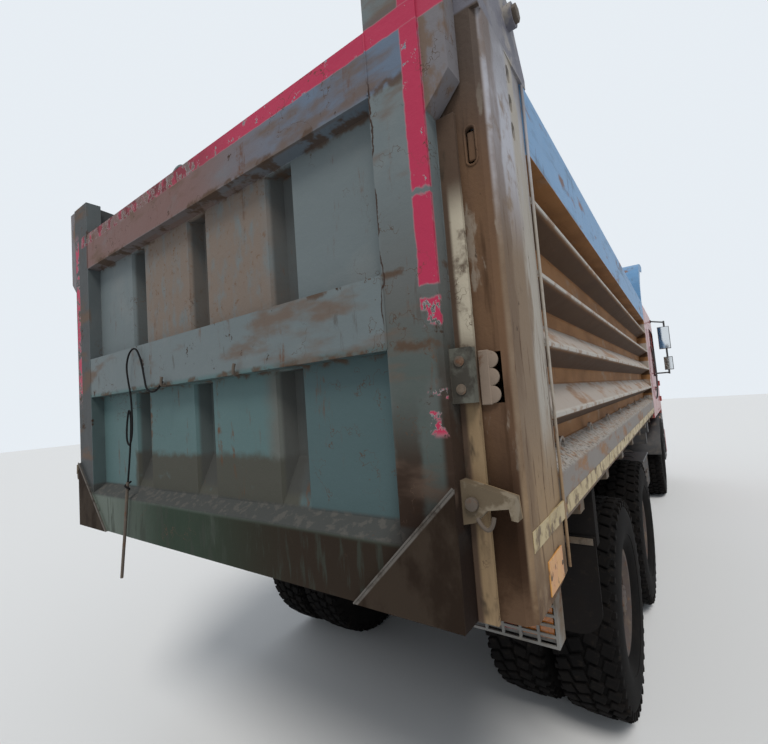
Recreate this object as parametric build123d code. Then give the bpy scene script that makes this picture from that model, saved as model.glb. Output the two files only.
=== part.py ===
"""A three-axle dump truck: cab-over tractor with twin rear axles, a ribbed steel tipping bed
that hinges at the rear of the chassis, and a tailgate hung from pins at the top of the rear posts.

Millimetres. The truck faces -Y, its left side is +X, and +Z is up. The origin is on the ground
under the middle of the truck's length and width.
"""
from build123d import *
import math
import os

# Lengths along the truck, and the stations that follow from them
FRONT_OVERHANG = 1507
WHEELBASE = 3825
TANDEM_SPACING = 1350
REAR_OVERHANG = 1830
GUSSET_T = 12
BED_LENGTH = 5150
OVERALL_LENGTH = FRONT_OVERHANG + WHEELBASE + TANDEM_SPACING + REAR_OVERHANG + GUSSET_T
BUMPER_FACE_Y = -OVERALL_LENGTH / 2
FRONT_AXLE_Y = BUMPER_FACE_Y + FRONT_OVERHANG
MID_AXLE_Y = FRONT_AXLE_Y + WHEELBASE
REAR_AXLE_Y = MID_AXLE_Y + TANDEM_SPACING
GATE_FACE_Y = REAR_AXLE_Y + REAR_OVERHANG
TANDEM_Y = (MID_AXLE_Y + REAR_AXLE_Y) / 2
BED_FRONT_Y = GATE_FACE_Y - BED_LENGTH

# Tyres and rims
TYRE_R = 560
TYRE_W = 315
BEAD_R = 262
DUAL_SPACING = 350
OUTER_TYRE_FACE_X = 1220
OUTER_TYRE_X = OUTER_TYRE_FACE_X - TYRE_W / 2
INNER_TYRE_X = OUTER_TYRE_X - DUAL_SPACING
FRONT_TYRE_X = OUTER_TYRE_FACE_X - 180
AXLE_Z = TYRE_R
RIM_W = 216
RIM_T = 12
FLANGE_H = 16
DISC_T = 16
DRUM_R = 205
HUB_R = 110
STUD_CIRCLE_R = 168
SPINDLE_R = 50
HUB_CLEARANCE = 0.5

# Chassis frame: two channel rails
RAIL_OUT_X = 425
RAIL_FLANGE = 85
RAIL_H = 300
RAIL_T = 10
RAIL_TOP_Z = 1000
RAIL_BOTTOM_Z = RAIL_TOP_Z - RAIL_H
RAIL_IN_X = RAIL_OUT_X - RAIL_FLANGE
FRAME_FRONT_Y = BUMPER_FACE_Y + 182
CROSS_W = 60
CROSS_T = 9
GEARBOX_END_Y = FRONT_AXLE_Y + 1105
NOSE_REACH = 260
CHAMBER_R = 72
CHAMBER_L = 150

# Bed pivot at the rear of the frame
PIVOT_Y = GATE_FACE_Y - 900
PIVOT_Z = RAIL_TOP_Z - 40
PIVOT_SHAFT_R = 40
PIVOT_CLEARANCE = 0.5
PIVOT_LUG_R = 70
FRAME_REAR_Y = PIVOT_Y - 110
EAR_T = 16
SIDE_GAP = 5

# Bed: floor, walls and ribs
BED_HALF_W = 1250
WALL_IN_X = BED_HALF_W - 100
WALL_T = 10
FRONT_WALL_T = 8
WALL_OUT_X = WALL_IN_X + WALL_T
FLOOR_TOP_Z = 1400
FLOOR_T = 9
FLOOR_BOTTOM_Z = FLOOR_TOP_Z - FLOOR_T
WALL_TOP_Z = 2749
TOP_RAIL_BOTTOM_Z = WALL_TOP_Z - 237
RIB_CREST_Z = (2364, 2133, 1918, 1698)
RIB_UP = 105
RIB_DOWN = 60
RIB_NOSE = 12
SHEET_T = 6
BOTTOM_RAIL_IN_Z = 1584
BOTTOM_RAIL_OUT_Z = 1530
BEAM_IN_X = RAIL_IN_X + SIDE_GAP
BEAM_OUT_X = RAIL_OUT_X - SIDE_GAP
BEAM_BOTTOM_Z = RAIL_TOP_Z + 6
BEAM_TOP_Z = 1241
BEARER_W = 70
BEARER_TIP_H = 60
HOOK_R = 42
HOOK_BAR = 11
HOOK_X = WALL_OUT_X + 30
HOOK_COUNT = 8
SHIELD_T = 8
SHIELD_REACH = 900
SHIELD_TOP_Z = WALL_TOP_Z + 640

# Rear posts of the bed
POST_REAR_Y = GATE_FACE_Y - 80
POST_FRONT_Y = GATE_FACE_Y - 430
POST_FOLD_Y = GATE_FACE_Y - 255
POST_BOTTOM_Z = 1246
POST_T = 10
POST_LIP_X = WALL_IN_X - 40
POST_CHAMFER = 24
POST_HOLE_Y = GATE_FACE_Y - 292
POST_HOLE_Z = (2520, 2604, 2693)
POST_HOLE_W = 34
POST_HOLE_H = 54

# Tail lamps under the rear of the floor
LAMP_Y = GATE_FACE_Y - 470
LAMP_T = 56
LAMP_IN_X = BED_HALF_W - 490
LAMP_OUT_X = BED_HALF_W - 45
LAMP_BOTTOM_Z = 1035
LAMP_TOP_Z = 1170
TOW_PIN_R = 20

# Gate hinge at the top of the posts
GATE_PIN_Y = GATE_FACE_Y - 330
GATE_PIN_Z = WALL_TOP_Z + 141
GATE_PIN_R = 25
GATE_PIN_CLEARANCE = 0.5

# Tailgate
GATE_HALF_W = WALL_IN_X - 32
GATE_MEMBER_W = 163
GATE_IN_X = GATE_HALF_W - GATE_MEMBER_W
GATE_T = 70
GATE_BACK_Y = GATE_FACE_Y - GATE_T
GATE_BOTTOM_Z = 1243
GATE_TOP_Z = 2790
GATE_TOP_RAIL_Z = 2603
GATE_MID_TOP_Z = 2112
GATE_MID_BOTTOM_Z = 1912
GATE_SHELF_OUT_Z = 1420
GATE_SHELF_IN_Z = 1456
GATE_ARM_TOP_Z = GATE_PIN_Z + 82
PANEL_RECESS = 58
PANEL_Y = GATE_FACE_Y - PANEL_RECESS
GROOVE_COUNT = 3
GROOVE_MOUTH = 137
GROOVE_FLOOR = 66
GROOVE_DEPTH = 55
GROOVE_FOOT_H = 160
FLANGE_X = GATE_HALF_W + 52
FLANGE_T = 12
GUSSET_LEG = 304
CHEEK_X = GATE_HALF_W + 72
CHEEK_BOTTOM_Z = 2490

# Fuel tank on the left rail
TANK_LENGTH = 1200
TANK_IN_X = RAIL_OUT_X + 60
TANK_OUT_X = 1080
TANK_BOTTOM_Z = 470
TANK_TOP_Z = 990
TANK_CORNER_R = 90

# Air tanks on the right rail
AIR_TANK_LENGTH = 800
AIR_TANK_REAR_Y = MID_AXLE_Y - 1220

# Hoist rams between the frame rails
RAM_X = 220
RAM_BASE_Y = PIVOT_Y - 2300
RAM_BASE_Z = 830
RAM_EYE_Y = PIVOT_Y - 1200
RAM_EYE_Z = 1120
RAM_BARREL_R = 75
RAM_BORE_R = 61
RAM_ROD_R = 44
RAM_BARREL_L = 1000
RAM_EYE_R = 54
RAM_EYE_W = 90
RAM_TUBE_R = 34
RAM_CLEARANCE = 0.5
RAM_PIN_HEAD_R = 32
EYE_GAP = 12

# Cab: panels as thick as the whole wall
CAB_HALF_W = 1190
CAB_T = 45
CAB_FACE_Y = BUMPER_FACE_Y + 67
CAB_LENGTH = 2215
CAB_BACK_Y = CAB_FACE_Y + CAB_LENGTH
CAB_FLOOR_Z = 1240
CAB_FLOOR_T = 40
CAB_ROOF_Z = 2900
CAB_FRONT_BOTTOM_Z = 970
CAB_INSIDE_X = CAB_HALF_W - CAB_T - 25
SCREEN_HALF_W = CAB_HALF_W - 130
SCREEN_LOW_Z = 1830
SCREEN_HIGH_Z = CAB_ROOF_Z - 260
REAR_WINDOW_HALF_W = 480
REAR_WINDOW_Z = (2120, 2520)
TILT_Y = CAB_FACE_Y + 95
TILT_Z = 800
TILT_SHAFT_R = 22
TILT_CLEARANCE = 0.5
TILT_ARM_X = 445
TILT_ARM_T = 30
GRILLE_HALF_W = 560
GRILLE_SLOTS = 5
GRILLE_PITCH = 78
SEAT_X = 700
DOOR_GAP = 7
DOOR_FRONT_Y = CAB_FACE_Y + 140
DOOR_REAR_Y = DOOR_FRONT_Y + 1095
DOOR_BOTTOM_Z = 1290
GLASS_T = 6
MIRROR_Y = CAB_FACE_Y + 60
MIRROR_ARM_X = CAB_HALF_W + 190
MIRROR_LOW_Z = 1900
MIRROR_HIGH_Z = CAB_ROOF_Z - 70
MIRROR_TUBE_R = 13
HINGE_X = CAB_HALF_W + 14
HINGE_Y = DOOR_FRONT_Y - 4
HINGE_PIN_R = 7
HINGE_R = 13
HINGE_CLEARANCE = 0.5
HINGE_Z = (1420, 1700)

# Steering
KINGPIN_X = 860
KINGPIN_R = 25
KINGPIN_CLEARANCE = 0.5
BOSS_R = 50
BOSS_HALF_H = 60
FORK_GAP = 0.5
FORK_T = 34

PARTS = {}


def block(x0, x1, y0, y1, z0, z1):
    """A box between two corners."""
    return Pos((x0 + x1) / 2, (y0 + y1) / 2, (z0 + z1) / 2) * Box(x1 - x0, y1 - y0, z1 - z0)


def prism_x(points, x0, x1):
    """A side outline of (y, z) points, drawn out from x0 to x1."""
    outline = Polyline(*[(x0, y, z) for y, z in points], close=True)
    return extrude(make_face(outline), amount=x1 - x0, dir=(1, 0, 0))


def prism_y(points, y0, y1):
    """An end outline of (x, z) points, drawn out from y0 to y1."""
    outline = Polyline(*[(x, y0, z) for x, z in points], close=True)
    return extrude(make_face(outline), amount=y1 - y0, dir=(0, 1, 0))


def prism_z(points, z0, z1):
    """A plan outline of (x, y) points, drawn out from z0 to z1."""
    outline = Polyline(*[(x, y, z0) for x, y in points], close=True)
    return extrude(make_face(outline), amount=z1 - z0, dir=(0, 0, 1))


def bar_x(x0, x1, y, z, r):
    """A round bar along X."""
    return Pos((x0 + x1) / 2, y, z) * Rot(0, 90, 0) * Cylinder(r, abs(x1 - x0))


def bar_y(y0, y1, x, z, r):
    """A round bar along Y."""
    return Pos(x, (y0 + y1) / 2, z) * Rot(90, 0, 0) * Cylinder(r, abs(y1 - y0))


def bar_z(z0, z1, x, y, r):
    """A round bar along Z."""
    return Pos(x, y, (z0 + z1) / 2) * Cylinder(r, abs(z1 - z0))


def bar_between(a, b, r):
    """A round bar from point a to point b."""
    a, b = Vector(*a), Vector(*b)
    return extrude(Plane(origin=a, z_dir=b - a) * Circle(r), amount=(b - a).length)


def other_side(shape):
    """The same piece on the right side."""
    return mirror(shape, about=Plane.YZ)


def both_sides(shape):
    """A left piece with its right twin."""
    return shape + other_side(shape)


def keep(name, *shapes):
    """Stores one node: shapes fused where they touch, apart where they don't."""
    whole = shapes[0]
    for shape in shapes[1:]:
        whole = whole + shape
    PARTS[name] = whole


# Chassis frame: channel rails, cross members, pivot ears and shafts
def rail():
    inner = RAIL_OUT_X - RAIL_T
    top, low = RAIL_TOP_Z, RAIL_BOTTOM_Z
    channel = [(RAIL_OUT_X, low), (RAIL_OUT_X, top), (RAIL_IN_X, top), (RAIL_IN_X, top - RAIL_T),
               (inner, top - RAIL_T), (inner, low + RAIL_T), (RAIL_IN_X, low + RAIL_T), (RAIL_IN_X, low)]
    return prism_y(channel, FRAME_FRONT_Y, FRAME_REAR_Y)


def pivot_ear(x0):
    low = RAIL_BOTTOM_Z + 60
    outline = [(FRAME_REAR_Y - 300, low), (PIVOT_Y, PIVOT_Z - PIVOT_LUG_R), (PIVOT_Y + 62, PIVOT_Z - 34),
               (PIVOT_Y + 62, PIVOT_Z + 20), (PIVOT_Y + 44, RAIL_TOP_Z), (FRAME_REAR_Y - 300, RAIL_TOP_Z)]
    return prism_x(outline, x0, x0 + EAR_T)


# y of each cross member, with its lowest and highest z
CROSS_MEMBERS = [(FRAME_FRONT_Y + 120, 760, 940), (GEARBOX_END_Y + 150, 790, 960),
                 (MID_AXLE_Y - 1520, 760, 940), (MID_AXLE_Y - 620, 760, 940),
                 (TANDEM_Y, 715, 890), (FRAME_REAR_Y - 360, 740, 940)]


def chassis_rails():
    """Each rail with its two pivot ears and the cab's tilt bracket."""
    side = rail()
    for x0 in (RAIL_OUT_X, RAIL_IN_X - EAR_T):
        side += pivot_ear(x0)
    side += block(RAIL_IN_X, RAIL_OUT_X, BUMPER_FACE_Y + 50, FRAME_FRONT_Y, TILT_Z - 80, TILT_Z + 40)
    shaft_reach = TILT_ARM_X + TILT_ARM_T + 12
    side += bar_x(RAIL_IN_X, shaft_reach, TILT_Y, TILT_Z, TILT_SHAFT_R)
    pivot_reach = RAIL_OUT_X + EAR_T + 14
    side += bar_x(RAIL_IN_X - EAR_T, pivot_reach, PIVOT_Y, PIVOT_Z, PIVOT_SHAFT_R)
    return both_sides(side)


def cross_members():
    """Channels between the rails' webs, with an end plate each, and the tube that the rams stand on."""
    inner = RAIL_OUT_X - RAIL_T
    whole = bar_x(-inner, inner, RAM_BASE_Y, RAM_BASE_Z, RAM_TUBE_R)
    for y, z0, z1 in CROSS_MEMBERS:
        y0, y1 = y - CROSS_W / 2, y + CROSS_W / 2
        member = block(-inner, inner, y0, y1, z0, z1)
        reach = inner - CROSS_T
        whole += member - block(-reach, reach, y0 + CROSS_T, y1, z0 + CROSS_T, z1 - CROSS_T)
    return whole


def bumper():
    half, face, depth, wall = CAB_HALF_W + 10, BUMPER_FACE_Y, 262, 50
    outer = [(-half, face + depth), (-half, face + 85), (-half + 90, face), (half - 90, face),
             (half, face + 85), (half, face + depth)]
    inner = [(half - wall, face + depth), (half - wall, face + 105), (half - 110, face + wall),
             (-half + 110, face + wall), (-half + wall, face + 105), (-half + wall, face + depth)]
    shell = prism_z(outer + inner, 470, 860)
    lamp_pocket = block(800, 1060, face, face + 38, 560, 740)
    plate_recess = block(-260, 260, face, face + 8, 560, 680)
    air_slot = block(-600, 600, face, face + wall, 740, 790)
    return shell - both_sides(lamp_pocket) - plate_recess - air_slot


def headlamps():
    face = BUMPER_FACE_Y
    body = block(804, 1056, face + 4, face + 38, 564, 736)
    lens_main = bar_y(face + 1, face + 4, 885, 650, 66)
    lens_side = block(968, 1046, face + 1, face + 4, 590, 710)
    return both_sides(body + lens_main + lens_side)


def engine():
    front, back = FRONT_AXLE_Y - 845, FRONT_AXLE_Y + 405
    block_part = block(-320, 320, front, back, 600, 1180)
    gearbox = block(-190, 190, back, GEARBOX_END_Y, 610, 900)
    radiator = block(-330, 330, front - 280, front - 160, 640, 1180)
    shroud = block(-250, 250, front - 160, front, 760, 1120)
    return block_part + gearbox + radiator + shroud


def prop_shafts():
    """Two shafts, each between the flanges of the pieces that it joins."""
    whole = None
    nose_z = AXLE_Z + 40
    runs = [(GEARBOX_END_Y, 720, MID_AXLE_Y - NOSE_REACH, nose_z),
            (MID_AXLE_Y + NOSE_REACH, nose_z, REAR_AXLE_Y - NOSE_REACH, nose_z)]
    for y0, z0, y1, z1 in runs:
        shaft = bar_between((0, y0 + 15, z0), (0, y1 - 15, z1), 44)
        shaft += bar_y(y0, y0 + 22, 0, z0, 66) + bar_y(y1 - 22, y1, 0, z1, 66)
        whole = shaft if whole is None else whole + shaft
    return whole


def front_axle():
    y0, y1 = FRONT_AXLE_Y - 50, FRONT_AXLE_Y + 50
    drop = [(-830, 620), (-700, 620), (-580, 520), (580, 520), (700, 620), (830, 620),
            (830, 500), (720, 500), (600, 400), (-600, 400), (-720, 500), (-830, 500)]
    beam = prism_y(drop, y0, y1)
    boss = bar_z(AXLE_Z - BOSS_HALF_H, AXLE_Z + BOSS_HALF_H, KINGPIN_X, FRONT_AXLE_Y, BOSS_R)
    pin_half = BOSS_HALF_H + FORK_GAP + FORK_T
    kingpin = bar_z(AXLE_Z - pin_half, AXLE_Z + pin_half, KINGPIN_X, FRONT_AXLE_Y, KINGPIN_R)
    return beam + both_sides(boss + kingpin)


LEAF_T = 22
SPRING_OUT_X = RAIL_OUT_X + 106
SPRING_END_Z = AXLE_Z + 80


def front_springs():
    """Leaf packs under the rails: each leaf shorter than the one above, on the axle's pads."""
    x0, x1 = RAIL_IN_X + 5, RAIL_OUT_X + 10
    pack = None
    for leaf in range(5):
        half = 700 - 110 * leaf
        top = 630 - LEAF_T * leaf
        sag = 30 * half / 700
        outline = [(FRONT_AXLE_Y - half, top + sag), (FRONT_AXLE_Y, top), (FRONT_AXLE_Y + half, top + sag),
                   (FRONT_AXLE_Y + half, top + sag - LEAF_T), (FRONT_AXLE_Y, top - LEAF_T),
                   (FRONT_AXLE_Y - half, top + sag - LEAF_T)]
        strip = prism_x(outline, x0, x1)
        pack = strip if pack is None else pack + strip
    for y in (FRONT_AXLE_Y - 690, FRONT_AXLE_Y + 690):
        pack += block(x0 + 10, x1 - 10, y - 45, y + 45, 640, RAIL_BOTTOM_Z)
    return both_sides(pack)


def brake_chamber(axle_y):
    """A brake's air chamber on its bracket, ahead of the axle tube."""
    x, y1, z = RAIL_IN_X - 20, axle_y - 70, AXLE_Z + 30
    chamber = bar_y(y1 - CHAMBER_L, y1, x, z, CHAMBER_R - 8) + bar_y(y1 - 95, y1 - 60, x, z, CHAMBER_R)
    return chamber + block(x - 30, x + 30, axle_y - 75, axle_y, z - 40, z + 40)


def rear_axles():
    """Axle tubes with their housings, spindles, spring seats and brake chambers."""
    pair = None
    for y in (MID_AXLE_Y, REAR_AXLE_Y):
        axle = bar_x(-540, 540, y, AXLE_Z, 75)
        axle += bar_x(-925, 925, y, AXLE_Z, SPINDLE_R)
        axle += bar_x(-130, 130, y, AXLE_Z, 190)
        axle += bar_y(y - NOSE_REACH, y + NOSE_REACH, 0, AXLE_Z + 40, 62)
        axle += both_sides(block(RAIL_OUT_X + EAR_T, SPRING_OUT_X, y - 70, y + 70, AXLE_Z, SPRING_END_Z))
        axle += both_sides(brake_chamber(y))
        pair = axle if pair is None else pair + axle
    return pair


def rear_suspension():
    """Leaf packs outside the rails that ride on both rear axles, and the trunnion that carries them."""
    x0, x1 = RAIL_OUT_X + EAR_T, SPRING_OUT_X
    low, end = SPRING_END_Z, TANDEM_SPACING / 2 + 70
    half_outline = [(0, low + 52), (end, low + 28), (end, low), (520, low), (240, low - 50), (0, low - 80)]
    outline = [(TANDEM_Y + y, z) for y, z in half_outline]
    outline += [(TANDEM_Y - y, z) for y, z in half_outline[-2:0:-1]]
    pack = prism_x(outline, x0, x1)
    for step in range(1, 4):
        groove_z = low + 52 - LEAF_T * step
        reach = 500 - 70 * step
        pack -= block(x1 - 5, x1, TANDEM_Y - reach, TANDEM_Y + reach, groove_z - 2, groove_z + 2)
    bracket = prism_x([(TANDEM_Y - 170, 900), (TANDEM_Y + 170, 900), (TANDEM_Y + 95, 450),
                       (TANDEM_Y - 95, 450)], RAIL_OUT_X, x0)
    saddle = block(x0, x1, TANDEM_Y - 80, TANDEM_Y + 80, 450, 562)
    trunnion = bar_x(-RAIL_OUT_X, RAIL_OUT_X, TANDEM_Y, 500, 44)
    return both_sides(pack + bracket + saddle) + trunnion


def fuel_tank():
    """Square-section tank on two brackets, with a strap round it at each."""
    rear = MID_AXLE_Y - 920
    front = rear - TANK_LENGTH
    tank = rounded_tank(0, front, rear)
    cap = bar_z(TANK_TOP_Z, TANK_TOP_Z + 25, TANK_OUT_X - 180, (front + rear) / 2, 55)
    whole = tank + cap
    for y in (front + 250, rear - 250):
        whole += block(RAIL_OUT_X, TANK_IN_X, y - 25, y + 25, RAIL_BOTTOM_Z, RAIL_TOP_Z - 100)
        whole += rounded_tank(6, y - 25, y + 25)
    return whole


def rounded_tank(grow, y0, y1):
    """The tank's section grown by a skin, from y0 to y1."""
    blank = block(TANK_IN_X - grow, TANK_OUT_X + grow, y0, y1, TANK_BOTTOM_Z - grow, TANK_TOP_Z + grow)
    return fillet(blank.edges().filter_by(Axis.Y), TANK_CORNER_R + grow)


def air_tanks():
    """Two air tanks one over the other, and the battery box outside them, on one shelf."""
    x, rear = -RAIL_OUT_X - 195, AIR_TANK_REAR_Y
    front = rear - AIR_TANK_LENGTH
    middle = (front + rear) / 2
    whole = None
    for z in (600, 868):
        tank = bar_y(front, rear, x, z, 125)
        tank += bar_y(front - 35, front, x, z, 85) + bar_y(rear, rear + 35, x, z, 85)
        whole = tank if whole is None else whole + tank
    hanger = block(x - 20, -RAIL_OUT_X, middle - 30, middle + 30, 720, 748)
    battery = block(x - 500, x - 180, front + 50, rear - 50, 560, 900)
    shelf = block(x - 510, -RAIL_OUT_X, middle - 70, middle + 70, 735, 760)
    return whole + hanger + shelf + battery


def silencer():
    """Drum between the front wheel's guard and the battery box, with its tail pipe and strap."""
    x = -RAIL_OUT_X - 335
    front, rear = FRONT_AXLE_Y + 805, AIR_TANK_REAR_Y - AIR_TANK_LENGTH - 300
    drum = bar_y(front, rear, x, 640, 170)
    pipe = bar_y(rear, rear + 170, x, 560, 50)
    middle = (front + rear) / 2
    strap = block(x, -RAIL_OUT_X, middle - 40, middle + 40, 720, 800)
    return drum + pipe + strap


def air_intake():
    """Upright duct behind the cab, with a hooded mouth at roof height."""
    x, y = -CAB_HALF_W + 180, CAB_BACK_Y + 165
    hood_z, top = CAB_ROOF_Z - 200, CAB_ROOF_Z - 40
    duct = block(x - 90, x + 90, y - 70, y + 70, RAIL_TOP_Z + 60, hood_z)
    hood = prism_x([(y - 70, hood_z), (y + 70, hood_z), (y + 90, top), (y - 70, top)], x - 150, x + 150)
    elbow = block(x - 60, -RAIL_OUT_X, y - 60, y + 60, RAIL_TOP_Z - 100, RAIL_TOP_Z + 60)
    return duct + hood + elbow


def front_mudguards():
    """Arched guards over the front wheels, with the cab's steps ahead of them."""
    outer_r, inner_r = TYRE_R + 92, TYRE_R + 80
    x0, x1 = CAB_HALF_W - 490, CAB_HALF_W + 22
    arch = bar_x(x0, x1, FRONT_AXLE_Y, AXLE_Z, outer_r) - bar_x(x0, x1, FRONT_AXLE_Y, AXLE_Z, inner_r)
    arch -= block(x0, x1, FRONT_AXLE_Y - 900, FRONT_AXLE_Y + 900, -200, AXLE_Z + 140)
    front_y = FRONT_AXLE_Y - outer_r
    step_in, step_out = x1 - 332, x1 - 12
    step = block(step_in, step_out, front_y - 520, front_y - 8, 420, 1180)
    for z0, z1 in ((470, 760), (800, 1090)):
        step -= block(step_in + 80, step_out, front_y - 470, front_y - 60, z0, z1)
    tie = block(step_in, step_out, front_y - 20, front_y + 30, 700, 740)
    stay = block(RAIL_OUT_X, step_in + 20, front_y - 300, front_y - 240, 880, 920)
    rear_stay = block(RAIL_OUT_X, x0 + 60, FRONT_AXLE_Y + 585, FRONT_AXLE_Y + 645, 760, 790)
    return both_sides(arch + step + tie + stay + rear_stay)


def tail_lamps():
    """Lamp boxes that hang under the rear of the floor, each behind a guard of crossed bars."""
    y0, y1 = LAMP_Y, LAMP_Y + LAMP_T
    bar_y1 = y1 + 14
    lamp = block(LAMP_IN_X, LAMP_OUT_X, y0, y1, LAMP_BOTTOM_Z, LAMP_TOP_Z)
    for x in (LAMP_IN_X, LAMP_OUT_X - 8):
        lamp += block(x, x + 8, y0, bar_y1, LAMP_BOTTOM_Z - 10, LAMP_TOP_Z + 10)
    pitch = (LAMP_TOP_Z - LAMP_BOTTOM_Z + 12) / 5
    for row in range(6):
        z = LAMP_BOTTOM_Z - 10 + row * pitch
        lamp += block(LAMP_IN_X, LAMP_OUT_X, bar_y1 - 6, bar_y1, z, z + 8)
    across = (LAMP_OUT_X - LAMP_IN_X - 8) / 8
    for column in range(1, 8):
        x = LAMP_IN_X + column * across
        lamp += block(x, x + 8, bar_y1 - 6, bar_y1, LAMP_BOTTOM_Z - 10, LAMP_TOP_Z + 10)
    for x in (LAMP_IN_X + 60, LAMP_OUT_X - 110):
        lamp += block(x, x + 50, y0, y0 + 8, LAMP_TOP_Z - 20, FLOOR_BOTTOM_Z)
    return both_sides(lamp)


def tow_beam():
    """Rear beam between the frame's ends, with the jaw a tow bar pins into, and the guard bar under it."""
    beam = block(-RAIL_IN_X + EAR_T, RAIL_IN_X - EAR_T, FRAME_REAR_Y - 60, FRAME_REAR_Y, 730, 900)
    jaw = block(-60, 60, FRAME_REAR_Y, FRAME_REAR_Y + 110, 760, 870)
    jaw -= block(-60, 60, FRAME_REAR_Y + 25, FRAME_REAR_Y + 110, 790, 840)
    jaw -= bar_z(760, 870, 0, FRAME_REAR_Y + 70, TOW_PIN_R)
    return beam + jaw


# Wheels: each is a tyre node and a rim node about an axis along X
def ring_x(outline):
    """A (x, radius) outline turned about the X axis."""
    face = make_face(Polyline(*[(x, r, 0) for x, r in outline], close=True))
    return revolve(face, Axis.X, 360)


def tyre_at(x, y):
    half, bead = TYRE_W / 2, RIM_W / 2
    outline = [(-bead, BEAD_R), (-bead, BEAD_R + FLANGE_H), (-half + 12, 340), (-half, 420),
               (-half + 18, 520), (-half + 40, TYRE_R - 8),
               (0, TYRE_R), (half - 40, TYRE_R - 8), (half - 18, 520), (half, 420), (half - 12, 340),
               (bead, BEAD_R + FLANGE_H), (bead, BEAD_R)]
    return Pos(x, y, AXLE_Z) * ring_x(outline)


def rim_at(x, y, disc_x):
    """One steel rim: a dropped barrel, and a disc whose mounting face is at disc_x."""
    half, low, seat = RIM_W / 2, BEAD_R - 40, BEAD_R
    barrel = [(-half - 8, seat + FLANGE_H), (-half - 8, seat - RIM_T), (-half + 20, low - RIM_T),
              (half - 20, low - RIM_T),
              (half + 8, seat - RIM_T), (half + 8, seat + FLANGE_H), (half, seat + FLANGE_H), (half, seat),
              (half - 28, low), (-half + 28, low), (-half, seat), (-half, seat + FLANGE_H)]
    rim = Pos(x, y, AXLE_Z) * ring_x(barrel)
    lean = math.copysign(70, x - disc_x)
    dish = [(disc_x, HUB_R - 30), (disc_x + DISC_T, HUB_R - 30), (disc_x + DISC_T, 185),
            (disc_x + DISC_T + lean, low - RIM_T + 2), (disc_x + lean, low - RIM_T + 2), (disc_x, 185)]
    rim += Pos(0, y, AXLE_Z) * ring_x(dish)
    return rim


def studs(x0, x1, y):
    whole = None
    for turn in range(10):
        angle = math.radians(36 * turn)
        dy, dz = STUD_CIRCLE_R * math.cos(angle), STUD_CIRCLE_R * math.sin(angle)
        stud = bar_x(x0, x1, y + dy, AXLE_Z + dz, 15)
        whole = stud if whole is None else whole + stud
    return whole


def rear_rims(y):
    """Twin rims back to back on one hub, with the brake drum inboard."""
    face_x = (OUTER_TYRE_X + INNER_TYRE_X) / 2
    bore = SPINDLE_R + HUB_CLEARANCE
    wheel = rim_at(OUTER_TYRE_X, y, face_x) + rim_at(INNER_TYRE_X, y, face_x - DISC_T)
    hub = [(620, bore), (932, bore), (932, 0), (960, 0), (960, 82), (face_x + DISC_T, HUB_R),
           (face_x - DISC_T, HUB_R), (700, 140), (620, 140)]
    wheel += Pos(0, y, AXLE_Z) * ring_x(hub)
    drum = [(560, DRUM_R), (700, DRUM_R), (712, 150), (712, HUB_R), (690, HUB_R), (690, DRUM_R - 16),
            (560, DRUM_R - 16)]
    wheel += Pos(0, y, AXLE_Z) * ring_x(drum)
    wheel += studs(face_x + DISC_T, face_x + DISC_T + 34, y)
    return wheel


def front_rims(y):
    face_x = FRONT_TYRE_X + 40
    bore = SPINDLE_R + HUB_CLEARANCE
    wheel = rim_at(FRONT_TYRE_X, y, face_x)
    hub = [(968, bore), (1066, bore), (1066, 0), (1140, 0), (1140, 60), (face_x + DISC_T, HUB_R),
           (968, HUB_R)]
    wheel += Pos(0, y, AXLE_Z) * ring_x(hub)
    drum = [(962, DRUM_R), (1050, DRUM_R), (face_x, HUB_R + 20), (face_x, HUB_R), (1040, HUB_R),
            (1034, DRUM_R - 16), (962, DRUM_R - 16)]
    wheel += Pos(0, y, AXLE_Z) * ring_x(drum)
    wheel += studs(face_x + DISC_T, face_x + DISC_T + 34, y)
    return wheel


def knuckle():
    """Steering knuckle: a fork over the axle's boss, and the stub that the hub turns on."""
    y = FRONT_AXLE_Y
    near = BOSS_HALF_H + FORK_GAP
    far = near + FORK_T
    web_x = KINGPIN_X + 62
    whole = block(web_x, 955, y - 60, y + 60, AXLE_Z - far, AXLE_Z + far)
    for z0, z1 in ((AXLE_Z + near, AXLE_Z + far), (AXLE_Z - far, AXLE_Z - near)):
        whole += block(KINGPIN_X, 955, y - 46, y + 46, z0, z1)
        whole += bar_z(z0, z1, KINGPIN_X, y, 46)
    whole += bar_x(955, 1058, y, AXLE_Z, SPINDLE_R)
    return whole - bar_z(AXLE_Z - far - 5, AXLE_Z + far + 5, KINGPIN_X, y, KINGPIN_R + KINGPIN_CLEARANCE)


# Cab panels: (y, z) side outline of the front and of the roof
BROW_Z = CAB_ROOF_Z - 180
CAB_NOSE = [(CAB_FACE_Y + 45, CAB_FRONT_BOTTOM_Z), (CAB_FACE_Y, 1300), (CAB_FACE_Y, 1760),
            (CAB_FACE_Y + 210, BROW_Z)]
CAB_ROOF_LINE = [(CAB_FACE_Y + 210, BROW_Z), (CAB_FACE_Y + 295, CAB_ROOF_Z - 70),
                 (CAB_FACE_Y + 495, CAB_ROOF_Z - 12), (CAB_BACK_Y, CAB_ROOF_Z)]
# (y, z) inner corners of the front edge of the roof
CAB_BROW = [(CAB_FACE_Y + 210 + CAB_T, BROW_Z), (CAB_FACE_Y + 323, CAB_ROOF_Z - 110),
            (CAB_FACE_Y + 505, CAB_ROOF_Z - 12 - CAB_T)]


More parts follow.
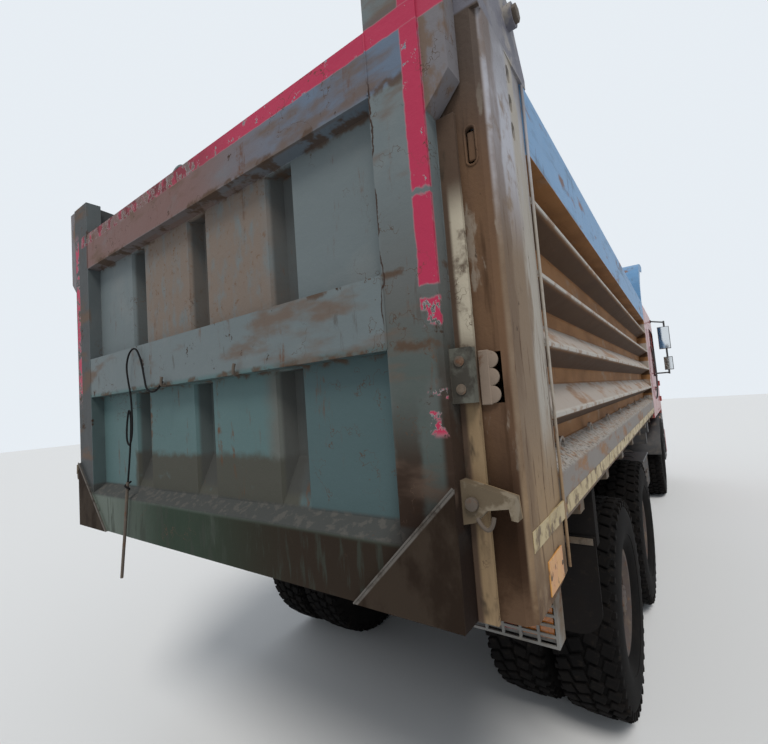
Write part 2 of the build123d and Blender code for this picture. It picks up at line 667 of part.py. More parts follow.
def cab_front():
    inner = [(y + CAB_T, z) for y, z in reversed(CAB_NOSE)]
    panel = prism_x(CAB_NOSE + inner, -CAB_HALF_W, CAB_HALF_W)
    y0, y1 = CAB_FACE_Y - 1, CAB_FACE_Y + 295
    panel -= block(-SCREEN_HALF_W, SCREEN_HALF_W, y0, y1, SCREEN_LOW_Z, SCREEN_HIGH_Z)
    for slat in range(GRILLE_SLOTS):
        z = CAB_FRONT_BOTTOM_Z + 150 + GRILLE_PITCH * slat
        panel -= block(-GRILLE_HALF_W, GRILLE_HALF_W, y0, y1, z, z + 40)
    return panel


def cab_roof():
    inner = [(CAB_BACK_Y, CAB_ROOF_Z - CAB_T)] + CAB_BROW[::-1]
    return prism_x(CAB_ROOF_LINE + inner, -CAB_HALF_W, CAB_HALF_W)


def cab_back():
    wall = block(-CAB_HALF_W + CAB_T, CAB_HALF_W - CAB_T, CAB_BACK_Y - CAB_T, CAB_BACK_Y,
                 CAB_FLOOR_Z, CAB_ROOF_Z - CAB_T)
    window = block(-REAR_WINDOW_HALF_W, REAR_WINDOW_HALF_W, CAB_BACK_Y - CAB_T, CAB_BACK_Y, *REAR_WINDOW_Z)
    return wall - cab_roof() - window


def cab_floor():
    floor = block(-CAB_HALF_W + CAB_T, CAB_HALF_W - CAB_T, CAB_FACE_Y + 90, CAB_BACK_Y - CAB_T,
                  CAB_FLOOR_Z, CAB_FLOOR_Z + CAB_FLOOR_T)
    tunnel = block(-350, 350, CAB_FACE_Y + 495, CAB_BACK_Y - 270,
                   CAB_FLOOR_Z + CAB_FLOOR_T, CAB_FLOOR_Z + 230)
    arm = prism_x([(TILT_Y - 25, TILT_Z + 30), (TILT_Y + 60, CAB_FLOOR_Z), (TILT_Y + 300, CAB_FLOOR_Z),
                   (TILT_Y + 40, TILT_Z - 10)], TILT_ARM_X, TILT_ARM_X + TILT_ARM_T)
    arm += bar_x(TILT_ARM_X, TILT_ARM_X + TILT_ARM_T, TILT_Y, TILT_Z, 42)
    arm -= bar_x(TILT_ARM_X, TILT_ARM_X + TILT_ARM_T, TILT_Y, TILT_Z, TILT_SHAFT_R + TILT_CLEARANCE)
    return floor + tunnel + both_sides(arm)


# (y, z) corners of the door, from its front lower corner
DOOR_OUTLINE = [(DOOR_FRONT_Y, DOOR_BOTTOM_Z), (DOOR_FRONT_Y, 1790), (DOOR_FRONT_Y + 175, CAB_ROOF_Z - 280),
                (DOOR_FRONT_Y + 255, CAB_ROOF_Z - 220), (DOOR_REAR_Y, CAB_ROOF_Z - 210),
                (DOOR_REAR_Y, DOOR_BOTTOM_Z)]
WINDOW_OUTLINE = [(DOOR_FRONT_Y + 70, 1850), (DOOR_FRONT_Y + 217, CAB_ROOF_Z - 340),
                  (DOOR_FRONT_Y + 265, CAB_ROOF_Z - 290), (DOOR_REAR_Y - 80, CAB_ROOF_Z - 280),
                  (DOOR_REAR_Y - 80, 1850)]


def grown(outline, by):
    """The face inside an outline of corners, drawn as (x, y), and moved outwards by a distance."""
    loop = Polyline(*[(y, z, 0) for y, z in outline], close=True)
    return offset(make_face(loop), amount=by, kind=Kind.INTERSECTION).faces()[0]


def face_prism_x(face, x0, x1):
    """A face drawn in (y, z) as (x, y), stood up and drawn out from x0 to x1."""
    upright = Plane(origin=(x0, 0, 0), x_dir=(0, 1, 0), z_dir=(1, 0, 0)) * face
    return extrude(upright, amount=x1 - x0, dir=(1, 0, 0))


def cab_side():
    x0, x1 = CAB_HALF_W - CAB_T, CAB_HALF_W
    outline = [(CAB_FACE_Y + CAB_T + 45, CAB_FLOOR_Z), (CAB_FACE_Y + CAB_T, 1300), (CAB_FACE_Y + CAB_T, 1760)]
    outline += CAB_BROW + [(CAB_BACK_Y, CAB_ROOF_Z - CAB_T), (CAB_BACK_Y, CAB_FLOOR_Z)]
    panel = prism_x(outline, x0, x1)
    panel -= face_prism_x(grown(DOOR_OUTLINE, DOOR_GAP), x0, x1)
    for z in HINGE_Z:
        panel += bar_z(z - 30, z + 60, HINGE_X, HINGE_Y, HINGE_PIN_R)
        panel += block(x1, HINGE_X, HINGE_Y - 40, HINGE_Y - 3, z + 31, z + 60)
        panel += bar_z(z + 31, z + 60, HINGE_X, HINGE_Y, HINGE_R)
    return panel


def door():
    x0, x1 = CAB_HALF_W - CAB_T, CAB_HALF_W
    leaf = prism_x(DOOR_OUTLINE, x0, x1) - prism_x(WINDOW_OUTLINE, x0, x1)
    handle = block(x1, x1 + 22, DOOR_REAR_Y - 190, DOOR_REAR_Y - 60, 1640, 1666)
    handle -= block(x1, x1 + 12, DOOR_REAR_Y - 170, DOOR_REAR_Y - 80, 1640, 1666)
    leaf += handle
    for z in HINGE_Z:
        leaf += block(x1, HINGE_X, HINGE_Y + 4, HINGE_Y + 50, z - 30, z + 30)
        leaf += bar_z(z - 30, z + 30, HINGE_X, HINGE_Y, HINGE_R)
        leaf -= bar_z(z - 30, z + 30, HINGE_X, HINGE_Y, HINGE_PIN_R + HINGE_CLEARANCE)
    return leaf


def door_glass():
    middle = CAB_HALF_W - CAB_T / 2
    return prism_x(WINDOW_OUTLINE, middle - GLASS_T / 2, middle + GLASS_T / 2)


def cab_glass():
    """Windscreen in the raked front panel, and the rear window."""
    slope = (CAB_NOSE[3][0] - CAB_NOSE[2][0]) / (CAB_NOSE[3][1] - CAB_NOSE[2][1])
    low_z, high_z = SCREEN_LOW_Z, SCREEN_HIGH_Z
    y_low = CAB_NOSE[2][0] + slope * (low_z - CAB_NOSE[2][1]) + 18
    y_high = CAB_NOSE[2][0] + slope * (high_z - CAB_NOSE[2][1]) + 18
    pane = [(y_low, low_z), (y_high, high_z), (y_high + GLASS_T, high_z), (y_low + GLASS_T, low_z)]
    screen = prism_x(pane, -SCREEN_HALF_W, SCREEN_HALF_W)
    middle = CAB_BACK_Y - CAB_T / 2
    y0, y1 = middle - GLASS_T / 2, middle + GLASS_T / 2
    return screen + block(-REAR_WINDOW_HALF_W, REAR_WINDOW_HALF_W, y0, y1, *REAR_WINDOW_Z)


def cab_interior():
    """Two seats, the dashboard and the steering wheel on its column."""
    floor_z, front = CAB_FLOOR_Z + CAB_FLOOR_T, CAB_FACE_Y + 95
    reach = CAB_INSIDE_X
    outline = [(0, 1500), (0, 1800), (220, 1780), (280, 1560), (150, 1480)]
    dash = prism_x([(front + y, z) for y, z in outline], -reach, reach)
    dash_foot = block(-reach, reach, front + 10, front + 60, floor_z, 1500)
    seats = None
    seat_y = front + 1010
    for x in (-SEAT_X, SEAT_X):
        pedestal = block(x - 170, x + 170, seat_y - 160, seat_y + 240, floor_z, 1500)
        cushion = block(x - 255, x + 255, seat_y - 260, seat_y + 260, 1500, 1640)
        cushion = fillet(cushion.edges().filter_by(Axis.X), 45)
        outline = [(130, 1640), (260, 1640), (390, 2330), (280, 2330)]
        back = prism_x([(seat_y + y, z) for y, z in outline], x - 245, x + 245)
        seat = pedestal + cushion + back
        seats = seat if seats is None else seats + seat
    column = bar_between((SEAT_X, front + 250, 1650), (SEAT_X, front + 468, 1828), 24)
    rim_plane = Plane(origin=(SEAT_X, front + 470, 1830), z_dir=(0, 210, 172))
    return dash + dash_foot + seats + column + rim_plane * Torus(215, 15) + rim_plane * Box(420, 46, 16)


def mirrors():
    """Two-glass mirrors on tube arms from the front corners of the roof and of the front panel."""
    x, y, foot_y = MIRROR_ARM_X, MIRROR_Y, CAB_FACE_Y + 450
    high, low = MIRROR_HIGH_Z, MIRROR_LOW_Z
    foot = block(CAB_HALF_W, CAB_HALF_W + 12, foot_y - 30, foot_y + 30, high - 25, high + 25)
    arm = bar_between((CAB_HALF_W + 12, foot_y, high), (x + 4, y - 2, high), MIRROR_TUBE_R)
    arm += bar_z(low - 23, high + 25, x, y, MIRROR_TUBE_R + 2)
    arm += bar_x(CAB_HALF_W, x + 4, y, low, MIRROR_TUBE_R)
    head = block(x - 110, x + 70, y - 40, y + 36, low + 440, low + 850)
    wide = block(x - 60, x + 75, y - 34, y + 32, low + 50, low + 290)
    for glass, r in ((head, 20), (wide, 16)):
        arm += fillet(glass.edges().filter_by(Axis.X), r)
    return both_sides(foot + arm)


# Bed
def hollow_y(outline, inner, y0, y1):
    """A hollow section along Y, closed by thin end plates."""
    return prism_y(outline, y0, y1) - prism_y(inner, y0 + SHEET_T, y1 - SHEET_T)


def wall_ribs(y0, y1):
    """The pressed ribs of the side wall: a long upper slope to a crest, and a short undercut."""
    ribs = None
    for z in RIB_CREST_Z:
        tip = BED_HALF_W
        outer = [(WALL_OUT_X, z + RIB_UP), (tip, z + RIB_NOSE / 2), (tip, z - RIB_NOSE / 2),
                 (WALL_OUT_X, z - RIB_DOWN)]
        inner = [(WALL_OUT_X, z + RIB_UP - 14), (tip - 8, z), (WALL_OUT_X, z - RIB_DOWN + 9)]
        rib = prism_y(outer, y0, y1) - prism_y(inner, y0, y1)
        ribs = rib if ribs is None else ribs + rib
    return ribs


def rope_hooks(y0, y1):
    """Half-round rope hooks that stand on the sloping top of the bottom rail."""
    hooks = None
    drop = (BOTTOM_RAIL_IN_Z - BOTTOM_RAIL_OUT_Z) / (BED_HALF_W - WALL_OUT_X)
    z = BOTTOM_RAIL_IN_Z - drop * (HOOK_X - WALL_OUT_X)
    for number in range(HOOK_COUNT):
        y = y0 + (number + 0.5) * (y1 - y0) / HOOK_COUNT
        x0, x1 = HOOK_X - HOOK_BAR / 2, HOOK_X + HOOK_BAR / 2
        ring = bar_x(x0, x1, y, z, HOOK_R) - bar_x(x0, x1, y, z, HOOK_R - HOOK_BAR)
        ring -= block(x0 - 1, x1 + 1, y - HOOK_R - 1, y + HOOK_R + 1, z - HOOK_R - 1, z - 6)
        hooks = ring if hooks is None else hooks + ring
    return hooks


FRONT_POST_W = 110


def side_wall():
    t = SHEET_T
    rib_start, rib_end = BED_FRONT_Y + FRONT_POST_W, POST_FRONT_Y
    wall = block(WALL_IN_X, WALL_OUT_X, BED_FRONT_Y, POST_REAR_Y - 22, FLOOR_BOTTOM_Z, WALL_TOP_Z)
    tip = BED_HALF_W
    top = [(WALL_OUT_X, TOP_RAIL_BOTTOM_Z), (WALL_OUT_X, WALL_TOP_Z), (tip - 8, WALL_TOP_Z),
           (tip, WALL_TOP_Z - 8), (tip, TOP_RAIL_BOTTOM_Z)]
    top_in = [(WALL_OUT_X, TOP_RAIL_BOTTOM_Z + t), (WALL_OUT_X, WALL_TOP_Z - t), (tip - t, WALL_TOP_Z - t),
              (tip - t, TOP_RAIL_BOTTOM_Z + t)]
    wall += hollow_y(top, top_in, rib_start, rib_end)
    low = [(WALL_OUT_X, FLOOR_BOTTOM_Z), (WALL_OUT_X, BOTTOM_RAIL_IN_Z), (tip, BOTTOM_RAIL_OUT_Z),
           (tip, FLOOR_BOTTOM_Z)]
    low_in = [(WALL_OUT_X, FLOOR_BOTTOM_Z + t), (WALL_OUT_X, BOTTOM_RAIL_IN_Z - 8),
              (tip - t, BOTTOM_RAIL_OUT_Z - 5), (tip - t, FLOOR_BOTTOM_Z + t)]
    wall += hollow_y(low, low_in, rib_start, rib_end)
    wall += wall_ribs(rib_start, rib_end)
    post = block(WALL_OUT_X, tip, BED_FRONT_Y, rib_start, FLOOR_BOTTOM_Z, WALL_TOP_Z)
    post -= block(WALL_OUT_X, tip - t, BED_FRONT_Y + t, rib_start - t, FLOOR_BOTTOM_Z + t, WALL_TOP_Z - t)
    wall += post
    wall += rope_hooks(rib_start, rib_end)
    return wall


BEARER_COUNT = 9
FLAP_Y = GATE_FACE_Y - 1050
FLAP_IN_X = BED_HALF_W - 630
FLAP_OUT_X = BED_HALF_W - 38


def bed_floor():
    """Floor plate on tapered cross bearers."""
    floor = block(-WALL_IN_X, WALL_IN_X, BED_FRONT_Y + FRONT_WALL_T, POST_REAR_Y - 22,
                  FLOOR_BOTTOM_Z, FLOOR_TOP_Z)
    first, last = BED_FRONT_Y + BEARER_W / 2, POST_REAR_Y - 22 - BEARER_W / 2
    tip = BED_HALF_W - 20
    outline = [(-tip, FLOOR_BOTTOM_Z), (-tip, FLOOR_BOTTOM_Z - BEARER_TIP_H), (-BEAM_OUT_X, BEAM_TOP_Z),
               (BEAM_OUT_X, BEAM_TOP_Z), (tip, FLOOR_BOTTOM_Z - BEARER_TIP_H), (tip, FLOOR_BOTTOM_Z)]
    for number in range(BEARER_COUNT):
        y = first + number * (last - first) / (BEARER_COUNT - 1)
        floor += prism_y(outline, y - BEARER_W / 2, y + BEARER_W / 2)
    return floor


def mudflaps():
    """Rubber flaps under steel carriers that hang from the floor."""
    carrier = block(FLAP_IN_X, FLAP_OUT_X, FLAP_Y - 4, FLAP_Y, 1110, FLOOR_BOTTOM_Z)
    carrier += block(FLAP_OUT_X - 4, FLAP_OUT_X, FLAP_Y - 60, FLAP_Y, 1110, FLOOR_BOTTOM_Z)
    flap = block(FLAP_IN_X + 8, FLAP_OUT_X - 4, FLAP_Y, FLAP_Y + 10, 740, 1150)
    low_corners = flap.edges().filter_by(Axis.Y).sort_by(Axis.Z)[:2]
    return both_sides(carrier + fillet(low_corners, 110))


def bed_beams():
    """Two box beams that lie over the frame rails, their pivot lugs, and the ears of the hoist rams."""
    front = BED_FRONT_Y + 20
    beam = block(BEAM_IN_X, BEAM_OUT_X, front, PIVOT_Y + 100, BEAM_BOTTOM_Z, BEAM_TOP_Z)
    beam -= block(BEAM_IN_X + 8, BEAM_OUT_X - 8, front + 8, PIVOT_Y - 200, BEAM_BOTTOM_Z + 8, BEAM_TOP_Z - 8)
    lug = prism_x([(PIVOT_Y - 66, BEAM_BOTTOM_Z), (PIVOT_Y + 66, BEAM_BOTTOM_Z), (PIVOT_Y + 60, PIVOT_Z),
                   (PIVOT_Y - 60, PIVOT_Z)], BEAM_IN_X, BEAM_OUT_X)
    lug += bar_x(BEAM_IN_X, BEAM_OUT_X, PIVOT_Y, PIVOT_Z, PIVOT_LUG_R)
    lug -= bar_x(BEAM_IN_X, BEAM_OUT_X, PIVOT_Y, PIVOT_Z, PIVOT_SHAFT_R + PIVOT_CLEARANCE)
    beams = both_sides(beam + lug)
    beams += block(-BEAM_IN_X, BEAM_IN_X, RAM_EYE_Y - 60, RAM_EYE_Y + 60, RAM_EYE_Z + 62, BEAM_TOP_Z)
    for side in (-1, 1):
        near = RAM_X + side * (RAM_EYE_W / 2 + EYE_GAP)
        far = near + side * EAR_T
        ear_line = [(RAM_EYE_Y - 60, RAM_EYE_Z + 62), (RAM_EYE_Y + 60, RAM_EYE_Z + 62),
                    (RAM_EYE_Y + 45, RAM_EYE_Z - 30), (RAM_EYE_Y - 45, RAM_EYE_Z - 30)]
        ear = prism_x(ear_line, min(near, far), max(near, far))
        head_x = sorted((far, far + side * 14))
        head = bar_x(*head_x, RAM_EYE_Y, RAM_EYE_Z, RAM_PIN_HEAD_R)
        beams += both_sides(ear + head)
    return beams


def bed_front():
    """Front wall with folded uprights on its outside."""
    y = BED_FRONT_Y
    wall = block(-WALL_IN_X, WALL_IN_X, y, y + FRONT_WALL_T, FLOOR_BOTTOM_Z, WALL_TOP_Z)
    for number in range(5):
        x = (number - 2) * 480
        outline = [(x - 70, y), (x - 40, y - 60), (x + 40, y - 60), (x + 70, y)]
        wall += prism_z(outline, FLOOR_BOTTOM_Z, WALL_TOP_Z - 110)
    wall += block(-WALL_IN_X, WALL_IN_X, y - 62, y, WALL_TOP_Z - 110, WALL_TOP_Z)
    return wall


def curve(a, b, c, steps):
    """Points of a smooth bend from a to c that leaves and arrives along the lines through b."""
    points = []
    for step in range(steps + 1):
        t = step / steps
        points.append(tuple((1 - t) ** 2 * p + 2 * t * (1 - t) * q + t * t * r for p, q, r in zip(a, b, c)))
    return points


def thick_line(points, t):
    """A line of points given a thickness on the side that lies to the left of its direction."""
    inner = []
    for i, (y, z) in enumerate(points):
        (y0, z0), (y1, z1) = points[max(i - 1, 0)], points[min(i + 1, len(points) - 1)]
        run = math.hypot(y1 - y0, z1 - z0)
        inner.append((y - t * (z1 - z0) / run, z + t * (y1 - y0) / run))
    return points + inner[::-1]


def cab_shield():
    """Shield that rises from the front wall and curls forward over the gap behind the cab."""
    y, t = BED_FRONT_Y, SHIELD_T
    bend = curve((y - 26, WALL_TOP_Z + 180), (y - 62, SHIELD_TOP_Z - 18),
                 (y - SHIELD_REACH, SHIELD_TOP_Z), 10)
    line = [(y, WALL_TOP_Z), (y, WALL_TOP_Z + 20)] + bend
    half = BED_HALF_W - 5
    sheet = prism_x(thick_line(line, t), -half, half)
    cheek_line = [(py - t / 2, pz - t / 2) for py, pz in line[2:]]
    cheek_line += [(y - SHIELD_REACH + 40, SHIELD_TOP_Z - 80), (y - 430, SHIELD_TOP_Z - 160),
                   (y - 190, WALL_TOP_Z + 270), (y - 62, WALL_TOP_Z), (y - t / 2, WALL_TOP_Z)]
    return sheet + both_sides(prism_x(cheek_line, half - t, half))


# (y, z) top outline of the rear post: a notch behind the rail, then the ear for the gate's pin
POST_TOP = [(POST_FRONT_Y - 40, WALL_TOP_Z), (POST_FRONT_Y - 40, WALL_TOP_Z + 30),
            (GATE_PIN_Y - 75, GATE_PIN_Z - 13), (GATE_PIN_Y - 30, GATE_PIN_Z + 70),
            (GATE_PIN_Y + 40, GATE_PIN_Z + 85), (GATE_PIN_Y + 160, GATE_PIN_Z + 55),
            (POST_REAR_Y, GATE_PIN_Z + 15)]


def rear_post():
    tip = BED_HALF_W
    plan = [(WALL_OUT_X, POST_FRONT_Y), (tip - 10, POST_FRONT_Y), (tip, POST_FOLD_Y),
            (tip, POST_REAR_Y - POST_CHAMFER), (tip - POST_CHAMFER, POST_REAR_Y), (POST_LIP_X, POST_REAR_Y),
            (POST_LIP_X, POST_REAR_Y - 20), (WALL_OUT_X, POST_REAR_Y - 20)]
    t = POST_T
    void = [(WALL_OUT_X, POST_FRONT_Y + t), (tip - 10 - t, POST_FRONT_Y + t), (tip - t, POST_FOLD_Y),
            (tip - t, POST_REAR_Y - POST_CHAMFER - 4), (tip - POST_CHAMFER - 4, POST_REAR_Y - t),
            (WALL_OUT_X, POST_REAR_Y - t)]
    shell = prism_z(plan, POST_BOTTOM_Z, WALL_TOP_Z) - prism_z(void, POST_BOTTOM_Z, WALL_TOP_Z)
    ear_line = POST_TOP + [(POST_REAR_Y, WALL_TOP_Z)]
    for x0, x1 in ((WALL_IN_X - 25, WALL_IN_X), (tip - t - 10, tip)):
        shell += prism_x(ear_line, x0, x1)
    shell += block(WALL_IN_X - 25, tip, POST_FRONT_Y - 40, POST_REAR_Y, WALL_TOP_Z, WALL_TOP_Z + 10)
    shell += block(WALL_IN_X, tip - t, POST_REAR_Y - t, POST_REAR_Y, WALL_TOP_Z, GATE_PIN_Z + 15)
    for z in POST_HOLE_Z:
        shell -= oval_x(tip - 30, tip + 1, POST_HOLE_Y, z, POST_HOLE_W, POST_HOLE_H)
    shell -= oval_y(POST_REAR_Y - t - 2, POST_REAR_Y + 1, tip - 50, 2400, 26, 95)
    shell -= block(tip - 72, tip - 24, POST_REAR_Y - t - 2, POST_REAR_Y, 1757, 1880)
    pin = bar_x(GATE_IN_X + 43, tip, GATE_PIN_Y, GATE_PIN_Z, GATE_PIN_R)
    pin += bar_x(tip, tip + 22, GATE_PIN_Y, GATE_PIN_Z, 34)
    return shell + pin


def oval_x(x0, x1, y, z, width, height):
    """An upright oval through a side face."""
    r = width / 2
    half = height / 2 - r
    return (block(x0, x1, y - r, y + r, z - half, z + half) + bar_x(x0, x1, y, z - half, r)
            + bar_x(x0, x1, y, z + half, r))


def oval_y(y0, y1, x, z, width, height):
    """An upright oval through a rear face."""
    r = width / 2
    half = height / 2 - r
    return (block(x - r, x + r, y0, y1, z - half, z + half) + bar_y(y0, y1, x, z - half, r)
            + bar_y(y0, y1, x, z + half, r))


# Tailgate
def gate_side():
    """Side member with its outer flange, hinge arm, cheek, bracket and hooked lock lug."""
    face, back = GATE_FACE_Y, GATE_BACK_Y
    member = block(GATE_IN_X, GATE_HALF_W, back, face, GATE_BOTTOM_Z, GATE_ARM_TOP_Z)
    arm_in, arm_out = GATE_IN_X + 40, GATE_HALF_W - 13
    arm_line = [(back, GATE_PIN_Z - 90), (GATE_PIN_Y, GATE_PIN_Z - 60), (GATE_PIN_Y - 30, GATE_PIN_Z + 52),
                (GATE_PIN_Y, GATE_PIN_Z + 60), (back, GATE_ARM_TOP_Z)]
    arm = prism_x(arm_line, arm_in, arm_out)
    arm += bar_x(arm_in, arm_out, GATE_PIN_Y, GATE_PIN_Z, 60)
    arm -= bar_x(arm_in, arm_out, GATE_PIN_Y, GATE_PIN_Z, GATE_PIN_R + GATE_PIN_CLEARANCE)
    flange_y = POST_REAR_Y + 8
    flange_back = flange_y + 2 + FLANGE_T
    flange = block(GATE_HALF_W, FLANGE_X, flange_y + 2, flange_back, GATE_BOTTOM_Z, CHEEK_BOTTOM_Z)
    cheek_line = [(GATE_HALF_W, CHEEK_BOTTOM_Z), (CHEEK_X, CHEEK_BOTTOM_Z + 75), (CHEEK_X, GATE_ARM_TOP_Z),
                  (GATE_HALF_W, GATE_ARM_TOP_Z)]
    cheek = prism_y(cheek_line, back, face - 6)
    bracket = block(GATE_HALF_W, FLANGE_X + 3, flange_back, face - 22, 1762, 1894)
    hook = [(0, 1582), (62, 1566), (128, 1548), (132, 1498), (118, 1500), (114, 1524),
            (62, 1516), (32, 1486), (0, 1478)]
    lug = prism_y([(GATE_HALF_W + x, z) for x, z in hook], flange_back, flange_y + 50)
    leg = GUSSET_LEG + 20
    gusset_line = [(GATE_HALF_W - leg, GATE_BOTTOM_Z), (GATE_HALF_W, GATE_BOTTOM_Z + leg),
                   (GATE_HALF_W, GATE_BOTTOM_Z)]
    gusset = prism_y(gusset_line, face, face + GUSSET_T)
    return member + arm + flange + cheek + bracket + lug + gusset


def gate_frame():
    face, back, t = GATE_FACE_Y, GATE_BACK_Y, 8
    frame = both_sides(gate_side())
    reach = GATE_IN_X
    for z0, z1 in ((GATE_TOP_RAIL_Z, GATE_TOP_Z), (GATE_MID_BOTTOM_Z, GATE_MID_TOP_Z)):
        rail = block(-reach, reach, back, face, z0, z1)
        frame += rail - block(-reach + t, reach - t, back + t, face - t, z0 + t, z1 - t)
    low = [(face, GATE_BOTTOM_Z), (face, GATE_SHELF_OUT_Z), (PANEL_Y, GATE_SHELF_IN_Z),
           (back, GATE_SHELF_IN_Z), (back, GATE_BOTTOM_Z)]
    low_in = [(face - t, GATE_BOTTOM_Z + t), (face - t, GATE_SHELF_OUT_Z - t),
              (PANEL_Y, GATE_SHELF_IN_Z - t - 1), (back + t, GATE_SHELF_IN_Z - t - 1),
              (back + t, GATE_BOTTOM_Z + t)]
    frame += prism_x(low, -reach, reach) - prism_x(low_in, -reach + t, reach - t)
    handle_x, handle_r = 115, 74
    handle = bar_y(back + 4, back + 16, handle_x, GATE_TOP_Z, handle_r)
    handle -= bar_y(back + 4, back + 16, handle_x, GATE_TOP_Z, handle_r - 9)
    handle -= block(handle_x - 90, handle_x + 90, back, back + 20, GATE_TOP_Z - 90, GATE_TOP_Z - 5)
    return frame + handle


def groove_starts():
    """x where each groove of the panel begins."""
    flat = (2 * GATE_IN_X - GROOVE_COUNT * GROOVE_MOUTH) / (GROOVE_COUNT + 1)
    return [-GATE_IN_X + flat + number * (flat + GROOVE_MOUTH) for number in range(GROOVE_COUNT)]


def groove_plan(x, y):
    """Plan corners of one groove that starts at x in a sheet whose face is at y."""
    slope = (GROOVE_MOUTH - GROOVE_FLOOR) / 2
    deep = y - GROOVE_DEPTH
    return [(x, y), (x + slope, deep), (x + slope + GROOVE_FLOOR, deep), (x + GROOVE_MOUTH, y)]


def sheet_line(y):
    points = [(-GATE_IN_X, y)]
    for x in groove_starts():
        points += groove_plan(x, y)
    return points + [(GATE_IN_X, y)]


def gate_panel():
    """Two rows of pressed sheet. Grooves are capped, and the lower ones have a foot that sheds the load."""
    rows = None
    deep = PANEL_Y - GROOVE_DEPTH
    high_row = (GATE_MID_TOP_Z, GATE_TOP_RAIL_Z, 0)
    low_row = (GATE_SHELF_IN_Z, GATE_MID_BOTTOM_Z, GROOVE_FOOT_H)
    for z0, z1, foot_h in (high_row, low_row):
        sheet = prism_z(sheet_line(PANEL_Y) + sheet_line(PANEL_Y - SHEET_T)[::-1], z0, z1)
        for x in groove_starts():
            plan = groove_plan(x, PANEL_Y)
            sheet += prism_z(plan, z1 - SHEET_T, z1)
            if foot_h:
                wedge = prism_x([(deep, z0), (PANEL_Y, z0), (deep, z0 + foot_h)], x, x + GROOVE_MOUTH)
                sheet += wedge & prism_z(plan, z0, z0 + foot_h)
            else:
                sheet += prism_z(plan, z0, z0 + SHEET_T)
        rows = sheet if rows is None else rows + sheet
    return rows


# Hoist rams
def ram_frame():
    """The left ram's own axes: origin at its base, Z along it."""
    along = Vector(0, RAM_EYE_Y - RAM_BASE_Y, RAM_EYE_Z - RAM_BASE_Z)
    return Plane(origin=(RAM_X, RAM_BASE_Y, RAM_BASE_Z), x_dir=(1, 0, 0), z_dir=along), along.length


def along_ram(z0, z1, r):
    plane, _ = ram_frame()
    return plane * Pos(0, 0, (z0 + z1) / 2) * Cylinder(r, z1 - z0)


def ram_barrel():
    barrel = along_ram(70, RAM_BARREL_L, RAM_BARREL_R) - along_ram(90, RAM_BARREL_L - 30, RAM_BORE_R)
    barrel -= along_ram(RAM_BARREL_L - 31, RAM_BARREL_L, RAM_ROD_R + RAM_CLEARANCE)
    barrel += bar_x(RAM_X - 50, RAM_X + 50, RAM_BASE_Y, RAM_BASE_Z, 58)
    barrel += along_ram(30, 71, 40)
    barrel -= bar_x(RAM_X - 50, RAM_X + 50, RAM_BASE_Y, RAM_BASE_Z, RAM_TUBE_R + RAM_CLEARANCE)
    return both_sides(barrel)


def ram_rod():
    _, length = ram_frame()
    rod = along_ram(120, length - 30, RAM_ROD_R)
    rod += along_ram(104, 150, RAM_BORE_R - RAM_CLEARANCE)
    rod += bar_x(RAM_X - RAM_EYE_W / 2, RAM_X + RAM_EYE_W / 2, RAM_EYE_Y, RAM_EYE_Z, RAM_EYE_R)
    return both_sides(rod)


def build():
    keep("chassis_rails", chassis_rails())
    keep("cross_members", cross_members())
    keep("bumper", bumper())
    keep("headlamps", headlamps())
    keep("engine", engine())
    keep("prop_shafts", prop_shafts())
    keep("front_axle", front_axle())
    keep("front_springs", front_springs())
    keep("rear_axles", rear_axles())
    keep("rear_suspension", rear_suspension())
    keep("fuel_tank", fuel_tank())
    keep("air_tanks", air_tanks())
    keep("silencer", silencer())
    keep("air_intake", air_intake())
    keep("front_mudguards", front_mudguards())
    keep("tail_lamps", tail_lamps())
    keep("tow_beam", tow_beam())
    for name, y in (("mid", MID_AXLE_Y), ("rear", REAR_AXLE_Y)):
        tyres, rims = tyre_at(OUTER_TYRE_X, y) + tyre_at(INNER_TYRE_X, y), rear_rims(y)
        keep(f"{name}_tyres_left", tyres)
        keep(f"{name}_rims_left", rims)
        keep(f"{name}_tyres_right", other_side(tyres))
        keep(f"{name}_rims_right", other_side(rims))
    tyre, rim, stub = tyre_at(FRONT_TYRE_X, FRONT_AXLE_Y), front_rims(FRONT_AXLE_Y), knuckle()
    for side, turned in (("left", lambda s: s), ("right", other_side)):
        keep(f"front_tyre_{side}", turned(tyre))
        keep(f"front_rim_{side}", turned(rim))
        keep(f"knuckle_{side}", turned(stub))
        keep(f"door_{side}", turned(door()))
        keep(f"door_glass_{side}", turned(door_glass()))
        keep(f"side_wall_{side}", turned(side_wall()))
    keep("cab_front", cab_front())
    keep("cab_roof", cab_roof())
    keep("cab_back", cab_back())
    keep("cab_floor", cab_floor())
    keep("cab_sides", both_sides(cab_side()))
    keep("cab_glass", cab_glass())
    keep("cab_interior", cab_interior())
    keep("mirrors", mirrors())
    keep("bed_floor", bed_floor())
    keep("bed_beams", bed_beams())
    keep("bed_front", bed_front())
    keep("cab_shield", cab_shield())
    keep("rear_posts", both_sides(rear_post()))
    keep("mudflaps", mudflaps())
    keep("gate_frame", gate_frame())
    keep("gate_panel", gate_panel())
    keep("ram_barrels", ram_barrel())
    keep("ram_rods", ram_rod())


build()
os.makedirs("parts", exist_ok=True)
for node, shape in PARTS.items():
    export_step(shape, f"parts/{node}.step")
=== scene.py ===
"""Looks of the dump truck: worn paint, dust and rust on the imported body, and the trim that it lacks."""

import math
from functools import partial, reduce

import bpy
from mathutils import Matrix, Vector


